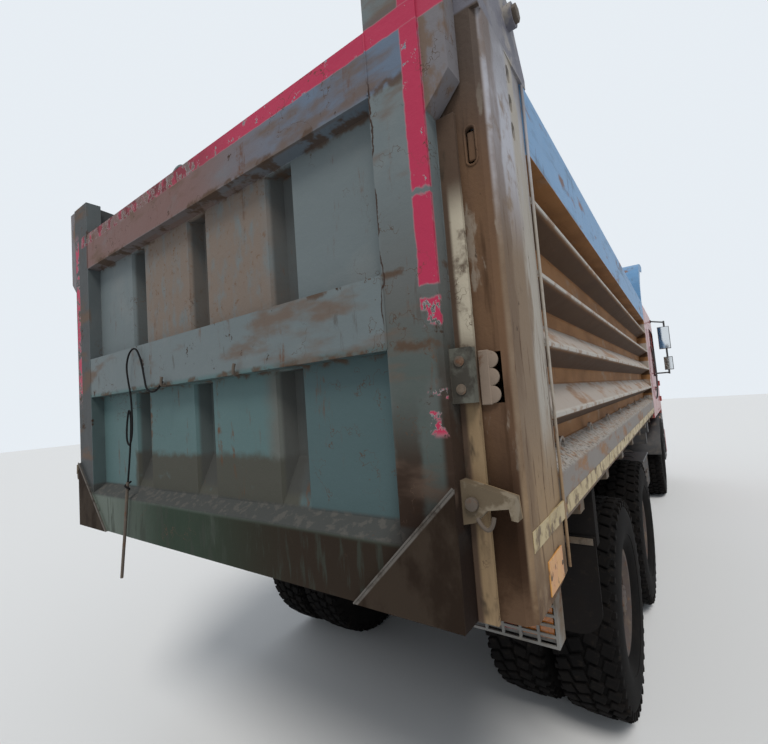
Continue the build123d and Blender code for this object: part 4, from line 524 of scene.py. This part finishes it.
WHEEL_RIMS = [f"{rim}_{side}" for _, rim, *_ in AXLES for side, _ in SIDES]
NODE_FINISH = {
    "gate": ["gate_frame", "gate_panel"],
    "wall": ["side_wall_left", "side_wall_right", "bed_front", "cab_shield"],
    "post": ["rear_posts"],
    "red": ["cab_front", "cab_roof", "cab_back", "cab_floor", "cab_sides", "door_left", "door_right",
            "bumper"],
    "floor": ["bed_floor", "bed_beams"],
    "frame": ["chassis_rails", "cross_members", "tow_beam", "front_axle", "front_springs", "rear_axles",
              "rear_suspension", "prop_shafts", "knuckle_left", "knuckle_right", "ram_barrels", "silencer",
              "air_tanks"],
    "iron": ["engine"], "tank": ["fuel_tank"], "guard": ["tail_lamps"], "chrome": ["ram_rods"],
    "inside": ["cab_interior"], "black": ["air_intake", "front_mudguards", "mirrors"], "wheel": WHEEL_RIMS,
    "glass": ["cab_glass", "door_glass_left", "door_glass_right"], "clear_lens": ["headlamps"],
    "flap": ["mudflaps"],
}


def dress_nodes():
    for finish, names in NODE_FINISH.items():
        for name in names:
            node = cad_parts[name]
            node.data.materials.clear()
            node.data.materials.append(FINISHES[finish])


# Modelling helpers
def clear_choice():
    bpy.ops.object.select_all(action="DESELECT")


def choose(piece):
    """Selects one piece alone and makes it the active one."""
    clear_choice()
    piece.select_set(True)
    bpy.context.view_layer.objects.active = piece


def settle(piece, finish, body="chassis"):
    """Puts the place into the mesh, and gives the piece its finish and its body."""
    choose(piece)
    bpy.ops.object.transform_apply()
    piece.data.materials.clear()
    piece.data.materials.append(FINISHES[finish])
    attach(piece, body)


def bevelled(piece, width, segments=2):
    bevel = piece.modifiers.new("edges", "BEVEL")
    bevel.width, bevel.segments, bevel.limit_method = width, segments, "ANGLE"
    choose(piece)
    bpy.ops.object.modifier_apply(modifier=bevel.name)


def added(name):
    """The primitive that was just added, named, with its place in its mesh."""
    piece = bpy.context.object
    piece.name = name
    bpy.ops.object.transform_apply()
    return piece


def slab(name, low, high, edge=0.002, segments=2):
    """A box between two corners with softened edges."""
    clear_choice()
    middle = [(a + b) / 2 for a, b in zip(low, high)]
    bpy.ops.mesh.primitive_cube_add(size=1, location=middle)
    bpy.context.object.scale = [b - a for a, b in zip(low, high)]
    piece = added(name)
    bevelled(piece, edge, segments)
    return piece


def side_slab(name, sign, low, high, edge=0.002, segments=2):
    """A slab of the left side, or its mirror on the right one where sign is -1."""
    near, far = sorted((sign * low[0], sign * high[0]))
    return slab(name, (near, *low[1:]), (far, *high[1:]), edge, segments)


def smooth(piece, angle=35):
    choose(piece)
    bpy.ops.object.shade_smooth_by_angle(angle=math.radians(angle))


def barrel(name, place, radius, depth, axis, edge, sides):
    """A round piece along an axis with softened rims."""
    clear_choice()
    turn = {"X": (0, math.pi / 2, 0), "Y": (math.pi / 2, 0, 0), "Z": (0, 0, 0)}[axis]
    bpy.ops.mesh.primitive_cylinder_add(vertices=sides, radius=radius, depth=depth, location=place,
                                        rotation=turn)
    piece = added(name)
    bevelled(piece, edge)
    smooth(piece)
    return piece


def bent_line(name, points, radius, bends="NURBS", rounds=3, steps=6):
    """A curve with a round section along points."""
    data = bpy.data.curves.new(name, "CURVE")
    data.dimensions, data.use_fill_caps = "3D", True
    data.bevel_depth, data.bevel_resolution, data.resolution_u = radius, rounds, steps
    spline = data.splines.new(bends)
    spline.points.add(len(points) - 1)
    for point, at in zip(spline.points, points):
        point.co = (*at, 1)
    if bends == "NURBS":
        spline.order_u = 3
        spline.use_endpoint_u = True
    line = bpy.data.objects.new(name, data)
    bpy.context.collection.objects.link(line)
    return line


def tube(name, points, radius, bends="NURBS", rounds=3):
    """A bent tube along points."""
    choose(bent_line(name, points, radius, bends, rounds))
    bpy.ops.object.convert(target="MESH")
    piece = bpy.context.object
    smooth(piece)
    return piece


def hoop(name, points, radius):
    """A closed tube with straight runs between points."""
    return tube(name, points + points[:1], radius, "POLY", 2)


def on_side(sign, points):
    """Points of the left side, or their mirror on the right one."""
    return [(sign * x, y, z) for x, y, z in points]


def joined(name, pieces):
    """One piece made of several; a single one only takes the name."""
    choose(pieces[0])
    for piece in pieces[1:]:
        piece.select_set(True)
    if len(pieces) > 1:
        bpy.ops.object.join()
    pieces[0].name = name
    return pieces[0]


def fit(name, pieces, finish, body="chassis"):
    settle(joined(name, pieces), finish, body)


def copy_of(piece, name, move=(0, 0, 0), flip_x=False):
    """A copy with its own mesh, moved, or turned over to the other side."""
    twin = piece.copy()
    twin.data = piece.data.copy()
    twin.name = name
    bpy.context.collection.objects.link(twin)
    choose(twin)
    if flip_x:
        twin.scale = (-1, 1, 1)
        bpy.ops.object.transform_apply()
        open_mesh(twin)
        weld_mesh(0.00002)
        close_mesh()
    twin.location = move
    bpy.ops.object.transform_apply()
    return twin


def turned(piece, middle, turn, place=None):
    """Turns a piece's mesh about its middle, which then moves to place."""
    back = Matrix.Translation([-c for c in middle])
    piece.data.transform(Matrix.Translation(place or middle) @ turn @ back)


def open_mesh(piece):
    """Edit mode with the whole mesh selected."""
    choose(piece)
    bpy.ops.object.mode_set(mode="EDIT")
    bpy.ops.mesh.select_all(action="SELECT")


def weld_mesh(gap=0.0001):
    """Merges doubles, and selects the whole mesh again."""
    bpy.ops.mesh.select_all(action="SELECT")
    bpy.ops.mesh.remove_doubles(threshold=gap)
    bpy.ops.mesh.select_all(action="SELECT")


def close_mesh():
    """Turns all faces outwards and leaves edit mode."""
    bpy.ops.mesh.select_all(action="SELECT")
    bpy.ops.mesh.normals_make_consistent(inside=False)
    bpy.ops.object.mode_set(mode="OBJECT")


def drawn_round(name, section, steps):
    """A closed section of (x, radius) points, drawn by extrusion and spun about the X axis."""
    clear_choice()
    bpy.ops.mesh.primitive_plane_add(size=1)
    piece = bpy.context.object
    piece.name = name
    open_mesh(piece)
    bpy.ops.mesh.merge(type="CENTER")
    bpy.ops.transform.translate(value=(section[0][0], 0, section[0][1]))
    for (x0, r0), (x1, r1) in zip(section, section[1:] + section[:1]):
        bpy.ops.mesh.extrude_region_move(TRANSFORM_OT_translate={"value": (x1 - x0, 0, r1 - r0)})
    weld_mesh()
    bpy.ops.mesh.spin(steps=steps, angle=2 * math.pi, center=(0, 0, 0), axis=(1, 0, 0))
    weld_mesh()
    close_mesh()
    return piece


def ring_of(piece, count):
    """Copies of a piece's faces round the X axis, all in its own mesh."""
    open_mesh(piece)
    bpy.ops.mesh.spin(steps=count - 1, dupli=True, angle=2 * math.pi * (count - 1) / count,
                      center=(0, 0, 0), axis=(1, 0, 0))
    close_mesh()
    return piece


# Tyres
TYRE_R, TREAD = 0.56, 0.016
LUGS_ROUND = 44


def model_tyre():
    """One tyre about the X axis: a ribbed carcass with shoulder lugs, and four rows of tread blocks."""
    base = TYRE_R - TREAD
    half = [(0.104, 0.264), (0.108, 0.279), (0.128, 0.3), (0.146, 0.335), (0.1495, 0.352), (0.1535, 0.355),
            (0.1535, 0.366), (0.1545, 0.37), (0.1575, 0.415), (0.156, 0.455), (0.15, 0.492), (0.143, 0.508),
            (0.136, 0.524), (0.126, 0.536), (0.06, base - 0.001)]
    section = [(-x, r) for x, r in half] + [(x, r) for x, r in reversed(half)]
    section += [(0.096, 0.27), (-0.096, 0.27)]
    tyre = drawn_round("tyre", section, 96)
    smooth(tyre, 40)
    blocks = []
    pitch = 2 * math.pi / LUGS_ROUND
    reach = TYRE_R * pitch * 0.72 / 2
    for x0, x1, phase in ((-0.13, -0.076, 0), (-0.064, -0.006, 0.5), (0.006, 0.064, 0), (0.076, 0.13, 0.5)):
        outer_drop = 0.006 if abs(x0 + x1) > 0.1 else 0.0
        block = slab("block", (x0, -reach, base - 0.012), (x1, reach, TYRE_R - outer_drop), 0.004, 1)
        slant = 0.3 if x0 + x1 > 0 else -0.3
        turned(block, ((x0 + x1) / 2, 0, 0), Matrix.Rotation(slant, 4, "Z"))
        block.data.transform(Matrix.Rotation(phase * pitch, 4, "X"))
        blocks.append(ring_of(block, LUGS_ROUND))
    shoulder = slab("shoulder", (0.118, -0.014, 0.505), (0.15, 0.014, base - 0.002), 0.003, 1)
    blocks.append(ring_of(shoulder, LUGS_ROUND))
    blocks.append(copy_of(shoulder, "shoulder_back", flip_x=True))
    return joined("tyre", [tyre] + blocks)


def fit_tyres():
    model = model_tyre()
    for node, _, body, y, xs in AXLES:
        for side, sign in SIDES:
            copies = [copy_of(model, f"{node}_{side}_tread{number}", (sign * x, y, AXLE_Z))
                      for number, x in enumerate(xs)]
            whole = joined(f"{node}_{side}_treaded", copies) if len(copies) > 1 else copies[0]
            settle(whole, "tyre", f"{body}_{side}")
            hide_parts(f"{node}_{side}")
    bpy.data.objects.remove(model)


# Trim on the bed and the gate
def fit_tie_wire():
    """Soft iron wire round the middle rail's hook, hanging in loops down to the rod that it holds."""
    y = GATE_FACE_Y + 0.014
    route = [(x, y + out, z) for x, out, z in (
        (0.185, -0.004, 1.93), (0.205, 0.006, 1.9), (0.245, 0.012, 1.888), (0.3, 0.01, 1.905),
        (0.335, 0, 1.955), (0.36, 0, 2.04), (0.405, 0, 2.104), (0.455, 0.006, 2.09), (0.478, 0.012, 2.03),
        (0.47, 0.01, 1.96), (0.455, 0.006, 1.89), (0.44, 0.01, 1.8), (0.43, 0.016, 1.715),
        (0.45, 0.02, 1.66), (0.488, 0.016, 1.69), (0.5, 0.008, 1.76), (0.492, 0, 1.84),
        (0.482, -0.004, 1.78), (0.496, -0.002, 1.66), (0.512, 0, 1.56), (0.522, 0.004, 1.48))]
    wire = bent_line("tie_wire", route, 0.004, steps=8)
    wire.data.materials.append(FINISHES["seal"])
    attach(wire, "tailgate")
    rod = tube("tie_rod", [(0.52, y + 0.004, 1.5), (0.528, y + 0.006, 1.44), (0.56, y + 0.004, 1.29),
                           (0.59, y + 0.004, 1.16), (0.612, y + 0.004, 1.06)], 0.0065)
    settle(rod, "bolt", "tailgate")
    knot = tube("tie_knot", [(0.512, y - 0.006, 1.5), (0.53, y - 0.002, 1.492), (0.532, y + 0.012, 1.484),
                             (0.514, y + 0.013, 1.478), (0.51, y, 1.47), (0.528, y - 0.004, 1.464)], 0.0045)
    settle(knot, "seal", "tailgate")


def bolt(name, place, radius, depth, axis):
    """A hexagon head on a round washer."""
    head = barrel(name, place, radius, depth, axis, 0.0012, 6)
    washer = barrel("washer", place, radius * 1.3, depth * 0.45, axis, 0.0008, 20)
    return joined(name, [head, washer])


def bolts(name, places, radius, depth, axis, body):
    """One bolt, copied to each place and joined into one piece."""
    model = bolt(name, (0, 0, 0), radius, depth, axis)
    copies = [copy_of(model, f"{name}_{number}", place) for number, place in enumerate(places)]
    bpy.data.objects.remove(model)
    fit(name, copies, "bolt", body)


def fit_strips():
    """Conspicuity strip along each side's lower edge and over the post, and a plate at each post's foot."""
    low, high, face, count = 1.401, 1.451, 1.2516, 9
    start, end = BED_FRONT_Y + 0.12, POST_FRONT_Y - 0.02
    pitch = (end - start) / count
    spans = [(start + n * pitch, start + (n + 1) * pitch - 0.01, 1.25) for n in range(count)]
    spans += [(POST_FRONT_Y + 0.01, POST_FOLD_Y - 0.004, 1.246), (POST_FOLD_Y, 4.138, 1.25)]
    for side, sign in SIDES:
        strips = [side_slab("strip", sign, (x, y0, low), (face, y1, high), 0.0005, 1) for y0, y1, x in spans]
        fit(f"side_strip_{side}", strips, "tape", "bed")
        plate = side_slab(f"post_reflector_{side}", sign, (1.248, 3.905, 1.262), (1.253, 4.04, 1.348), 0.0015)
        settle(plate, "orange", "bed")
        screws = on_side(sign, [(1.2532, 3.915, 1.305), (1.2532, 4.03, 1.305)])
        bolts(f"reflector_screws_{side}", screws, 0.005, 0.003, "X", "bed")


def fit_posts():
    """Wavy striker plate, plugged slot, pin nut and weld on each rear post."""
    corner, half, steps = 0.015, 0.036, 20
    turns = [(math.sin(a), math.cos(a)) for a in [2 * math.pi * n / steps for n in range(steps)]]
    for side, sign in SIDES:
        striker = [barrel("bump", (sign * 1.199, 4.1765, z), 0.0215, 0.009, "Y", 0.0025, 28)
                   for z in (1.778, 1.82, 1.862)]
        striker.append(side_slab("plate", sign, (1.173, POST_REAR_Y, 1.754), (1.199, 4.183, 1.886), 0.0025))
        fit(f"striker_{side}", striker, "rusty", "bed")
        rim = [(sign * 1.2 + corner * s, 4.1705, 2.4 + half * math.copysign(1, c) + corner * c)
               for s, c in turns]
        settle(hoop(f"slot_rim_{side}", rim, 0.0032), "post", "bed")
        plug = side_slab(f"slot_plug_{side}", sign, (1.19, 4.158, 2.362), (1.21, 4.1665, 2.438), 0.004, 3)
        settle(plug, "post", "bed")
        nut = barrel(f"pin_nut_{side}", (sign * 1.276, 3.92, 2.89), 0.026, 0.016, "X", 0.002, 6)
        settle(nut, "bolt", "bed")
        seam = on_side(sign, [(1.249, POST_FRONT_Y + 0.002, z) for z in (1.26, 1.6, 2.0, 2.4, 2.74)])
        settle(tube(f"post_weld_{side}", seam, 0.0045, "POLY", 2), "post", "bed")


def fit_gate():
    """Small bent hooks under the middle rail, and weld beads round the rails' ends and the gussets."""
    hooks = [tube("gate_hook", [(x, 4.236, 1.914), (x, 4.262, 1.906), (x - 0.004, 4.272, 1.925),
                                (x - 0.01, 4.268, 1.948)], 0.0055) for x in (0.185, -0.313)]
    fit("gate_hooks", hooks, "bolt", "tailgate")
    y = GATE_FACE_Y + 0.0005
    seam_x, reach = 0.955, 0.324
    rails = [[(seam_x, y, z0), (seam_x + 0.0015, y, (z0 + z1) / 2), (seam_x, y, z1)]
             for z0, z1 in ((1.25, 1.415), (1.915, 2.108), (2.608, 2.786))]
    gusset = [(1.116 - reach * t, y + 0.012, 1.569 - reach * t) for t in (0.0, 0.25, 0.5, 0.75, 1.0)]
    eye = [(1.16, 4.236, 1.5), (1.176, 4.24, 1.475), (1.196, 4.238, 1.48), (1.2, 4.236, 1.505)]
    for side, sign in SIDES:
        beads = [tube("bead", on_side(sign, line), 0.003) for line in rails]
        beads.append(tube("bead", on_side(sign, gusset), 0.0028))
        fit(f"gate_welds_{side}", beads, "gate", "tailgate")
        lock = [tube("lock_eye", on_side(sign, eye), 0.005),
                barrel("lock_pin", (sign * 1.148, 4.234, 1.53), 0.016, 0.012, "Y", 0.002, 24)]
        fit(f"lock_details_{side}", lock, "bolt", "tailgate")
        bolts(f"bracket_bolts_{side}", [(sign * 1.145, 4.23, z) for z in (1.795, 1.862)], 0.01, 0.007, "Y",
              "tailgate")


def fit_tail_lamps():
    """Lenses behind the guard's bars, from the outside in: amber, red, clear."""
    lenses = (("amber_lens", 1.085, 1.192), ("red_lens", 0.915, 1.08), ("clear_lens", 0.775, 0.91))
    cable = [(0.9, 3.782, 1.12), (0.88, 3.765, 1.23), (0.8, 3.76, 1.3), (0.6, 3.755, 1.325)]
    for side, sign in SIDES:
        for finish, x0, x1 in lenses:
            low, high = (x0, 3.8345, 1.047), (x1, 3.8425, 1.158)
            settle(side_slab(f"tail_{finish}_{side}", sign, low, high, 0.003, 3), finish, "bed")
        settle(tube(f"lamp_cable_{side}", on_side(sign, cable), 0.006), "seal", "bed")


def fit_mudflaps():
    """Clamping bars and their bolts along the top of each flap."""
    for side, sign in SIDES:
        bar = side_slab(f"flap_bar_{side}", sign, (0.64, 3.2095, 1.116), (1.2, 3.2145, 1.144), 0.0015)
        settle(bar, "bolt", "bed")
        places = [(sign * x, 3.216, 1.13) for x in (0.68, 0.8, 0.92, 1.04, 1.16)]
        bolts(f"flap_bolts_{side}", places, 0.009, 0.006, "Y", "bed")


# Chassis trim
def fit_frame_bolts():
    """Bolts of the cross members and spring brackets on the rails' outer faces, and the cable harness."""
    members = [(-3.96, 0.85), (-1.5, 0.875), (-0.45, 0.85), (0.45, 0.85), (1.745, 0.8), (2.88, 0.84)]
    places = [(0.427, y + dy, z + dz) for y, z in members for dy in (-0.018, 0.018) for dz in (-0.055, 0.055)]
    places += [(0.427, y + dy, 0.77) for y in (-3.47, -2.06, 1.33, 1.47) for dy in (-0.035, 0.035)]
    run = [(0.433, -3.6 + 0.55 * n, 0.93 + (0.006 if n % 2 else -0.006)) for n in range(12)]
    for side, sign in SIDES:
        bolts(f"frame_bolts_{side}", on_side(sign, places), 0.013, 0.01, "X", "chassis")
        harness = [tube("harness", on_side(sign, run), 0.01)]
        harness += [side_slab("clip", sign, (0.424, y - 0.01, 0.915), (0.446, y + 0.01, 0.945))
                    for _, y, _ in run[1:-1:2]]
        fit(f"harness_{side}", harness, "seal", "chassis")


def fit_springs():
    """U-bolts that hold the leaf springs, and the brake chambers' hoses."""
    middle_y = (MID_AXLE_Y + REAR_AXLE_Y) / 2
    low, top = 0.545, 0.7
    for side, sign in SIDES:
        loops = []
        for y, x0, x1 in ((FRONT_AXLE_Y - 0.06, 0.345, 0.435), (FRONT_AXLE_Y + 0.06, 0.345, 0.435),
                          (middle_y - 0.09, 0.441, 0.531), (middle_y + 0.09, 0.441, 0.531)):
            line = [(x0 - 0.011, y, low), (x0 - 0.011, y, top - 0.02), (x0 + 0.005, y, top + 0.006),
                    (x1 - 0.005, y, top + 0.006), (x1 + 0.011, y, top - 0.02), (x1 + 0.011, y, low)]
            loops.append(tube("u_bolt", on_side(sign, line), 0.01))
        fit(f"u_bolts_{side}", loops, "bolt")
        hoses = []
        for y in (MID_AXLE_Y, REAR_AXLE_Y):
            line = [(0.32, y - 0.215, 0.6), (0.318, y - 0.29, 0.62), (0.322, y - 0.33, 0.72),
                    (0.352, y - 0.33, 0.82), (0.405, y - 0.33, 0.86)]
            hoses.append(tube("hose", on_side(sign, line), 0.009))
        fit(f"brake_hoses_{side}", hoses, "seal", "chassis")


def fit_tanks():
    """Straps and cap of the fuel tank, straps of the air tanks and silencer, and the battery box's lid."""
    tank_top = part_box("fuel_tank")[1][2]
    front = MID_AXLE_Y - 2.12
    x0, x1, z0, z1, r = 0.485, 1.08, 0.47, 0.99, 0.09
    corners = [(x1 - r, z1 - r, 0), (x0 + r, z1 - r, 90), (x0 + r, z0 + r, 180), (x1 - r, z0 + r, 270)]
    arcs = [(cx, cz, math.radians(start + turn)) for cx, cz, start in corners for turn in (0, 30, 60, 90)]
    straps = []
    for y in (front + 0.25, front + 0.95):
        line = [(cx + (r + 0.003) * math.cos(a), y, cz + (r + 0.003) * math.sin(a)) for cx, cz, a in arcs]
        strap = hoop("strap", line, 0.007)
        straps += [strap] + [copy_of(strap, "strap_twin", (0, along, 0)) for along in (0.012, 0.024)]
    fit("tank_straps", straps, "bolt", "chassis")
    cap = barrel("tank_cap", (0.9, front + 0.6, tank_top + 0.004), 0.048, 0.016, "Z", 0.004, 12)
    settle(cap, "grey", "chassis")
    grip = ((-0.9, 0.912), (-0.9, 0.932), (-1.02, 0.932), (-1.02, 0.912))
    lid = slab("battery_lid", (-1.132, -0.905, 0.896), (-0.792, -0.195, 0.912), 0.006, 3)
    handles = [tube("handle", [(x, y, z) for x, z in grip], 0.005) for y in (-0.4, -0.7)]
    fit("battery_lid", [lid] + handles, "black")
    bands = [barrel("band", (-0.62, y, z), 0.1275, 0.03, "Y", 0.001, 48) for z in (0.6, 0.868)
             for y in (-0.78, -0.32)]
    fit("air_tank_bands", bands, "bolt")
    rings = [barrel("band", (-0.76, y, 0.64), 0.1725, 0.024, "Y", 0.001, 48) for y in (-1.85, -1.6, -1.35)]
    fit("silencer_bands", rings, "bolt")


def fit_hubs():
    """Cap with its ring of bolts on each outer rim."""
    count, ring_r = 8, 0.062
    turns = [2 * math.pi * number / count for number in range(count)]
    ring = [(ring_r * math.cos(a), ring_r * math.sin(a)) for a in turns]
    for _, node, body, y, _ in AXLES:
        for side, sign in SIDES:
            low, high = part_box(f"{node}_{side}")
            face = max(abs(low[0]), abs(high[0]))
            hub = [barrel("cap", (sign * (face - 0.006), y, AXLE_Z), 0.078, 0.016, "X", 0.006, 40)]
            hub += [bolt("cap_bolt", (sign * (face + 0.002), y + along, AXLE_Z + up), 0.007, 0.006, "X")
                    for along, up in ring]
            fit(f"hub_cap_{node}_{side}", hub, "wheel", f"{body}_{side}")


# Cab trim
def fit_cab():
    """Grille, window seals, sun visor, roof lamps and number plate's place."""
    grille = [slab("backing", (-0.575, -4.14, 1.1), (0.575, -4.132, 1.49), 0.003)]
    grille += [slab("rib", (x - 0.004, -4.166, 1.112), (x + 0.004, -4.14, 1.48), 0.0015, 1)
               for x in [-0.54 + 0.09 * n for n in range(13)]]
    fit("grille_backing", grille, "black", "cab")
    slope = 0.21 / 0.96
    screen = [(x, -4.195 + slope * (z - 1.76) - 0.001, z)
              for x, z in ((-1.06, 1.83), (1.06, 1.83), (1.06, 2.64), (-1.06, 2.64))]
    settle(hoop("windscreen_seal", screen, 0.011), "seal", "cab")
    window = [(x, -1.979, z) for x, z in ((-0.48, 2.12), (0.48, 2.12), (0.48, 2.52), (-0.48, 2.52))]
    settle(hoop("rear_window_seal", window, 0.01), "seal", "cab")
    visor = slab("sun_visor", (-1.08, -4.19, 2.65), (1.08, -4.176, 2.79), 0.005, 3)
    turned(visor, (0, -4.183, 2.72), Matrix.Rotation(math.radians(-32), 4, "X"), (0, -4.03, 2.75))
    arms = [slab("visor_arm", (x - 0.008, -4.1, 2.735), (x + 0.008, -3.93, 2.76), 0.003)
            for x in (-0.9, -0.3, 0.3, 0.9)]
    fit("sun_visor", [visor] + arms, "grey", "cab")
    markers = [slab("marker", (x - 0.045, -3.745, 2.878), (x + 0.045, -3.7, 2.906), 0.01, 3)
               for x in (-1.02, -0.45, 0.0, 0.45, 1.02)]
    fit("roof_markers", markers, "amber_lens", "cab")
    plate = slab("plate_blank", (-0.255, -4.2575, 0.566), (0.255, -4.253, 0.674), 0.002)
    settle(plate, "grey", "chassis")
    for side, sign in SIDES:
        fit_cab_side(side, sign)


def fit_cab_side(side, sign):
    """One side's mirror faces, wiper, door trim, grab rail, step treads and lamp trim."""
    for name, low, high in (("mirror_face", (1.278, -4.1, 2.35), (1.442, -4.097, 2.74)),
                            ("wide_mirror_face", (1.328, -4.104, 1.96), (1.447, -4.101, 2.18))):
        settle(side_slab(f"{name}_{side}", sign, low, high, 0.001), "mirror", "cab")
    arm = [(0.18, -4.204, 1.795), (0.3, -4.214, 1.83), (0.62, -4.176, 2.0)]
    blade = [(0.42, -4.202, 1.88), (0.66, -4.172, 2.01), (0.92, -4.15, 2.12)]
    wiper = [tube("arm", on_side(sign, arm), 0.008), tube("blade", on_side(sign, blade), 0.006),
             barrel("spindle", (sign * 0.18, -4.2, 1.795), 0.016, 0.02, "Y", 0.003, 20)]
    fit(f"wiper_{side}", wiper, "black", "cab")
    grip = [(1.192, -3.115, 1.625), (1.214, -3.105, 1.625), (1.216, -3.015, 1.625), (1.192, -3.005, 1.625)]
    handle = [side_slab("cup", sign, (1.186, -3.13, 1.59), (1.1935, -2.99, 1.66), 0.003, 3),
              tube("grip", on_side(sign, grip), 0.008)]
    fit(f"door_handle_{side}", handle, "black", f"door_{side}")
    window = [(1.1905, y, z) for y, z in ((-3.985, 1.85), (-3.838, 2.56), (-3.79, 2.61), (-3.04, 2.62),
                                          (-3.04, 1.85))]
    settle(hoop(f"door_seal_{side}", on_side(sign, window), 0.008), "seal", f"door_{side}")
    rail = [(1.19, -2.915, 1.48), (1.226, -2.915, 1.51), (1.226, -2.915, 2.3), (1.19, -2.915, 2.33)]
    settle(tube(f"grab_rail_{side}", on_side(sign, rail), 0.011), "black", "cab")
    treads = [side_slab("tread", sign, (0.972, y - 0.008, z - 0.001), (1.196, y + 0.008, z + 0.007), 0.002, 1)
              for z in (0.47, 0.8) for y in [-3.87 + 0.05 * n for n in range(8)]]
    fit(f"step_treads_{side}", treads, "zinc", "chassis")
    lamp = barrel(f"side_marker_{side}", (sign * 1.2125, FRONT_AXLE_Y, 1.19), 0.02, 0.01, "X", 0.004, 24)
    settle(lamp, "amber_lens", "chassis")
    bezel = [(x, -4.263, z) for x, z in ((0.806, 0.566), (1.054, 0.566), (1.054, 0.734), (0.806, 0.734))]
    settle(hoop(f"lamp_bezel_{side}", on_side(sign, bezel), 0.005), "black", "chassis")


# Floor, world and lamp
def lay_floor():
    clear_choice()
    bpy.ops.mesh.primitive_plane_add(size=80, location=(0, 0, 0))
    floor = bpy.context.object
    floor.name = "studio_floor"
    floor.data.materials.append(Finish("studio_paper", (0.7, 0.71, 0.72), 0.9).done())


def light_room():
    """A pale room that the camera, glass and metal see, a softer light on the object, and one broad lamp."""
    world = bpy.data.worlds.new("studio")
    bpy.context.scene.world = world
    world.use_nodes = True
    nodes, links = world.node_tree.nodes, world.node_tree.links
    light, shown = nodes["Background"], nodes.new("ShaderNodeBackground")
    for ground, color, strength in ((shown, (0.8, 0.85, 0.9, 1), 1.0), (light, (0.9, 0.95, 1.0, 1), 0.6)):
        ground.inputs["Color"].default_value = color
        ground.inputs["Strength"].default_value = strength
    path = nodes.new("ShaderNodeLightPath")
    seen = path.outputs["Is Camera Ray"]
    for ray in ("Is Glossy Ray", "Is Transmission Ray"):
        either = nodes.new("ShaderNodeMath")
        either.operation = "MAXIMUM"
        links.new(seen, either.inputs[0])
        links.new(path.outputs[ray], either.inputs[1])
        seen = either.outputs[0]
    pick = nodes.new("ShaderNodeMixShader")
    for number, socket in enumerate((seen, light.outputs[0], shown.outputs[0])):
        links.new(socket, pick.inputs[number])
    links.new(pick.outputs[0], nodes["World Output"].inputs["Surface"])
    lamp = bpy.data.lights.new("soft_key", "SUN")
    lamp.energy, lamp.angle, lamp.color = 1.8, math.radians(20), (1.0, 0.96, 0.9)
    sun = bpy.data.objects.new("soft_key", lamp)
    sun.rotation_euler = Vector((-0.35, 0.5, 0.85)).to_track_quat("Z", "Y").to_euler()
    bpy.context.collection.objects.link(sun)
    bpy.context.scene.view_settings.view_transform = "Standard"


set_camera()
dress_nodes()
fit_tie_wire()
fit_tyres()
fit_strips()
fit_posts()
fit_gate()
fit_tail_lamps()
fit_mudflaps()
fit_frame_bolts()
fit_springs()
fit_tanks()
fit_hubs()
fit_cab()
lay_floor()
light_room()
bpy.context.view_layer.update()
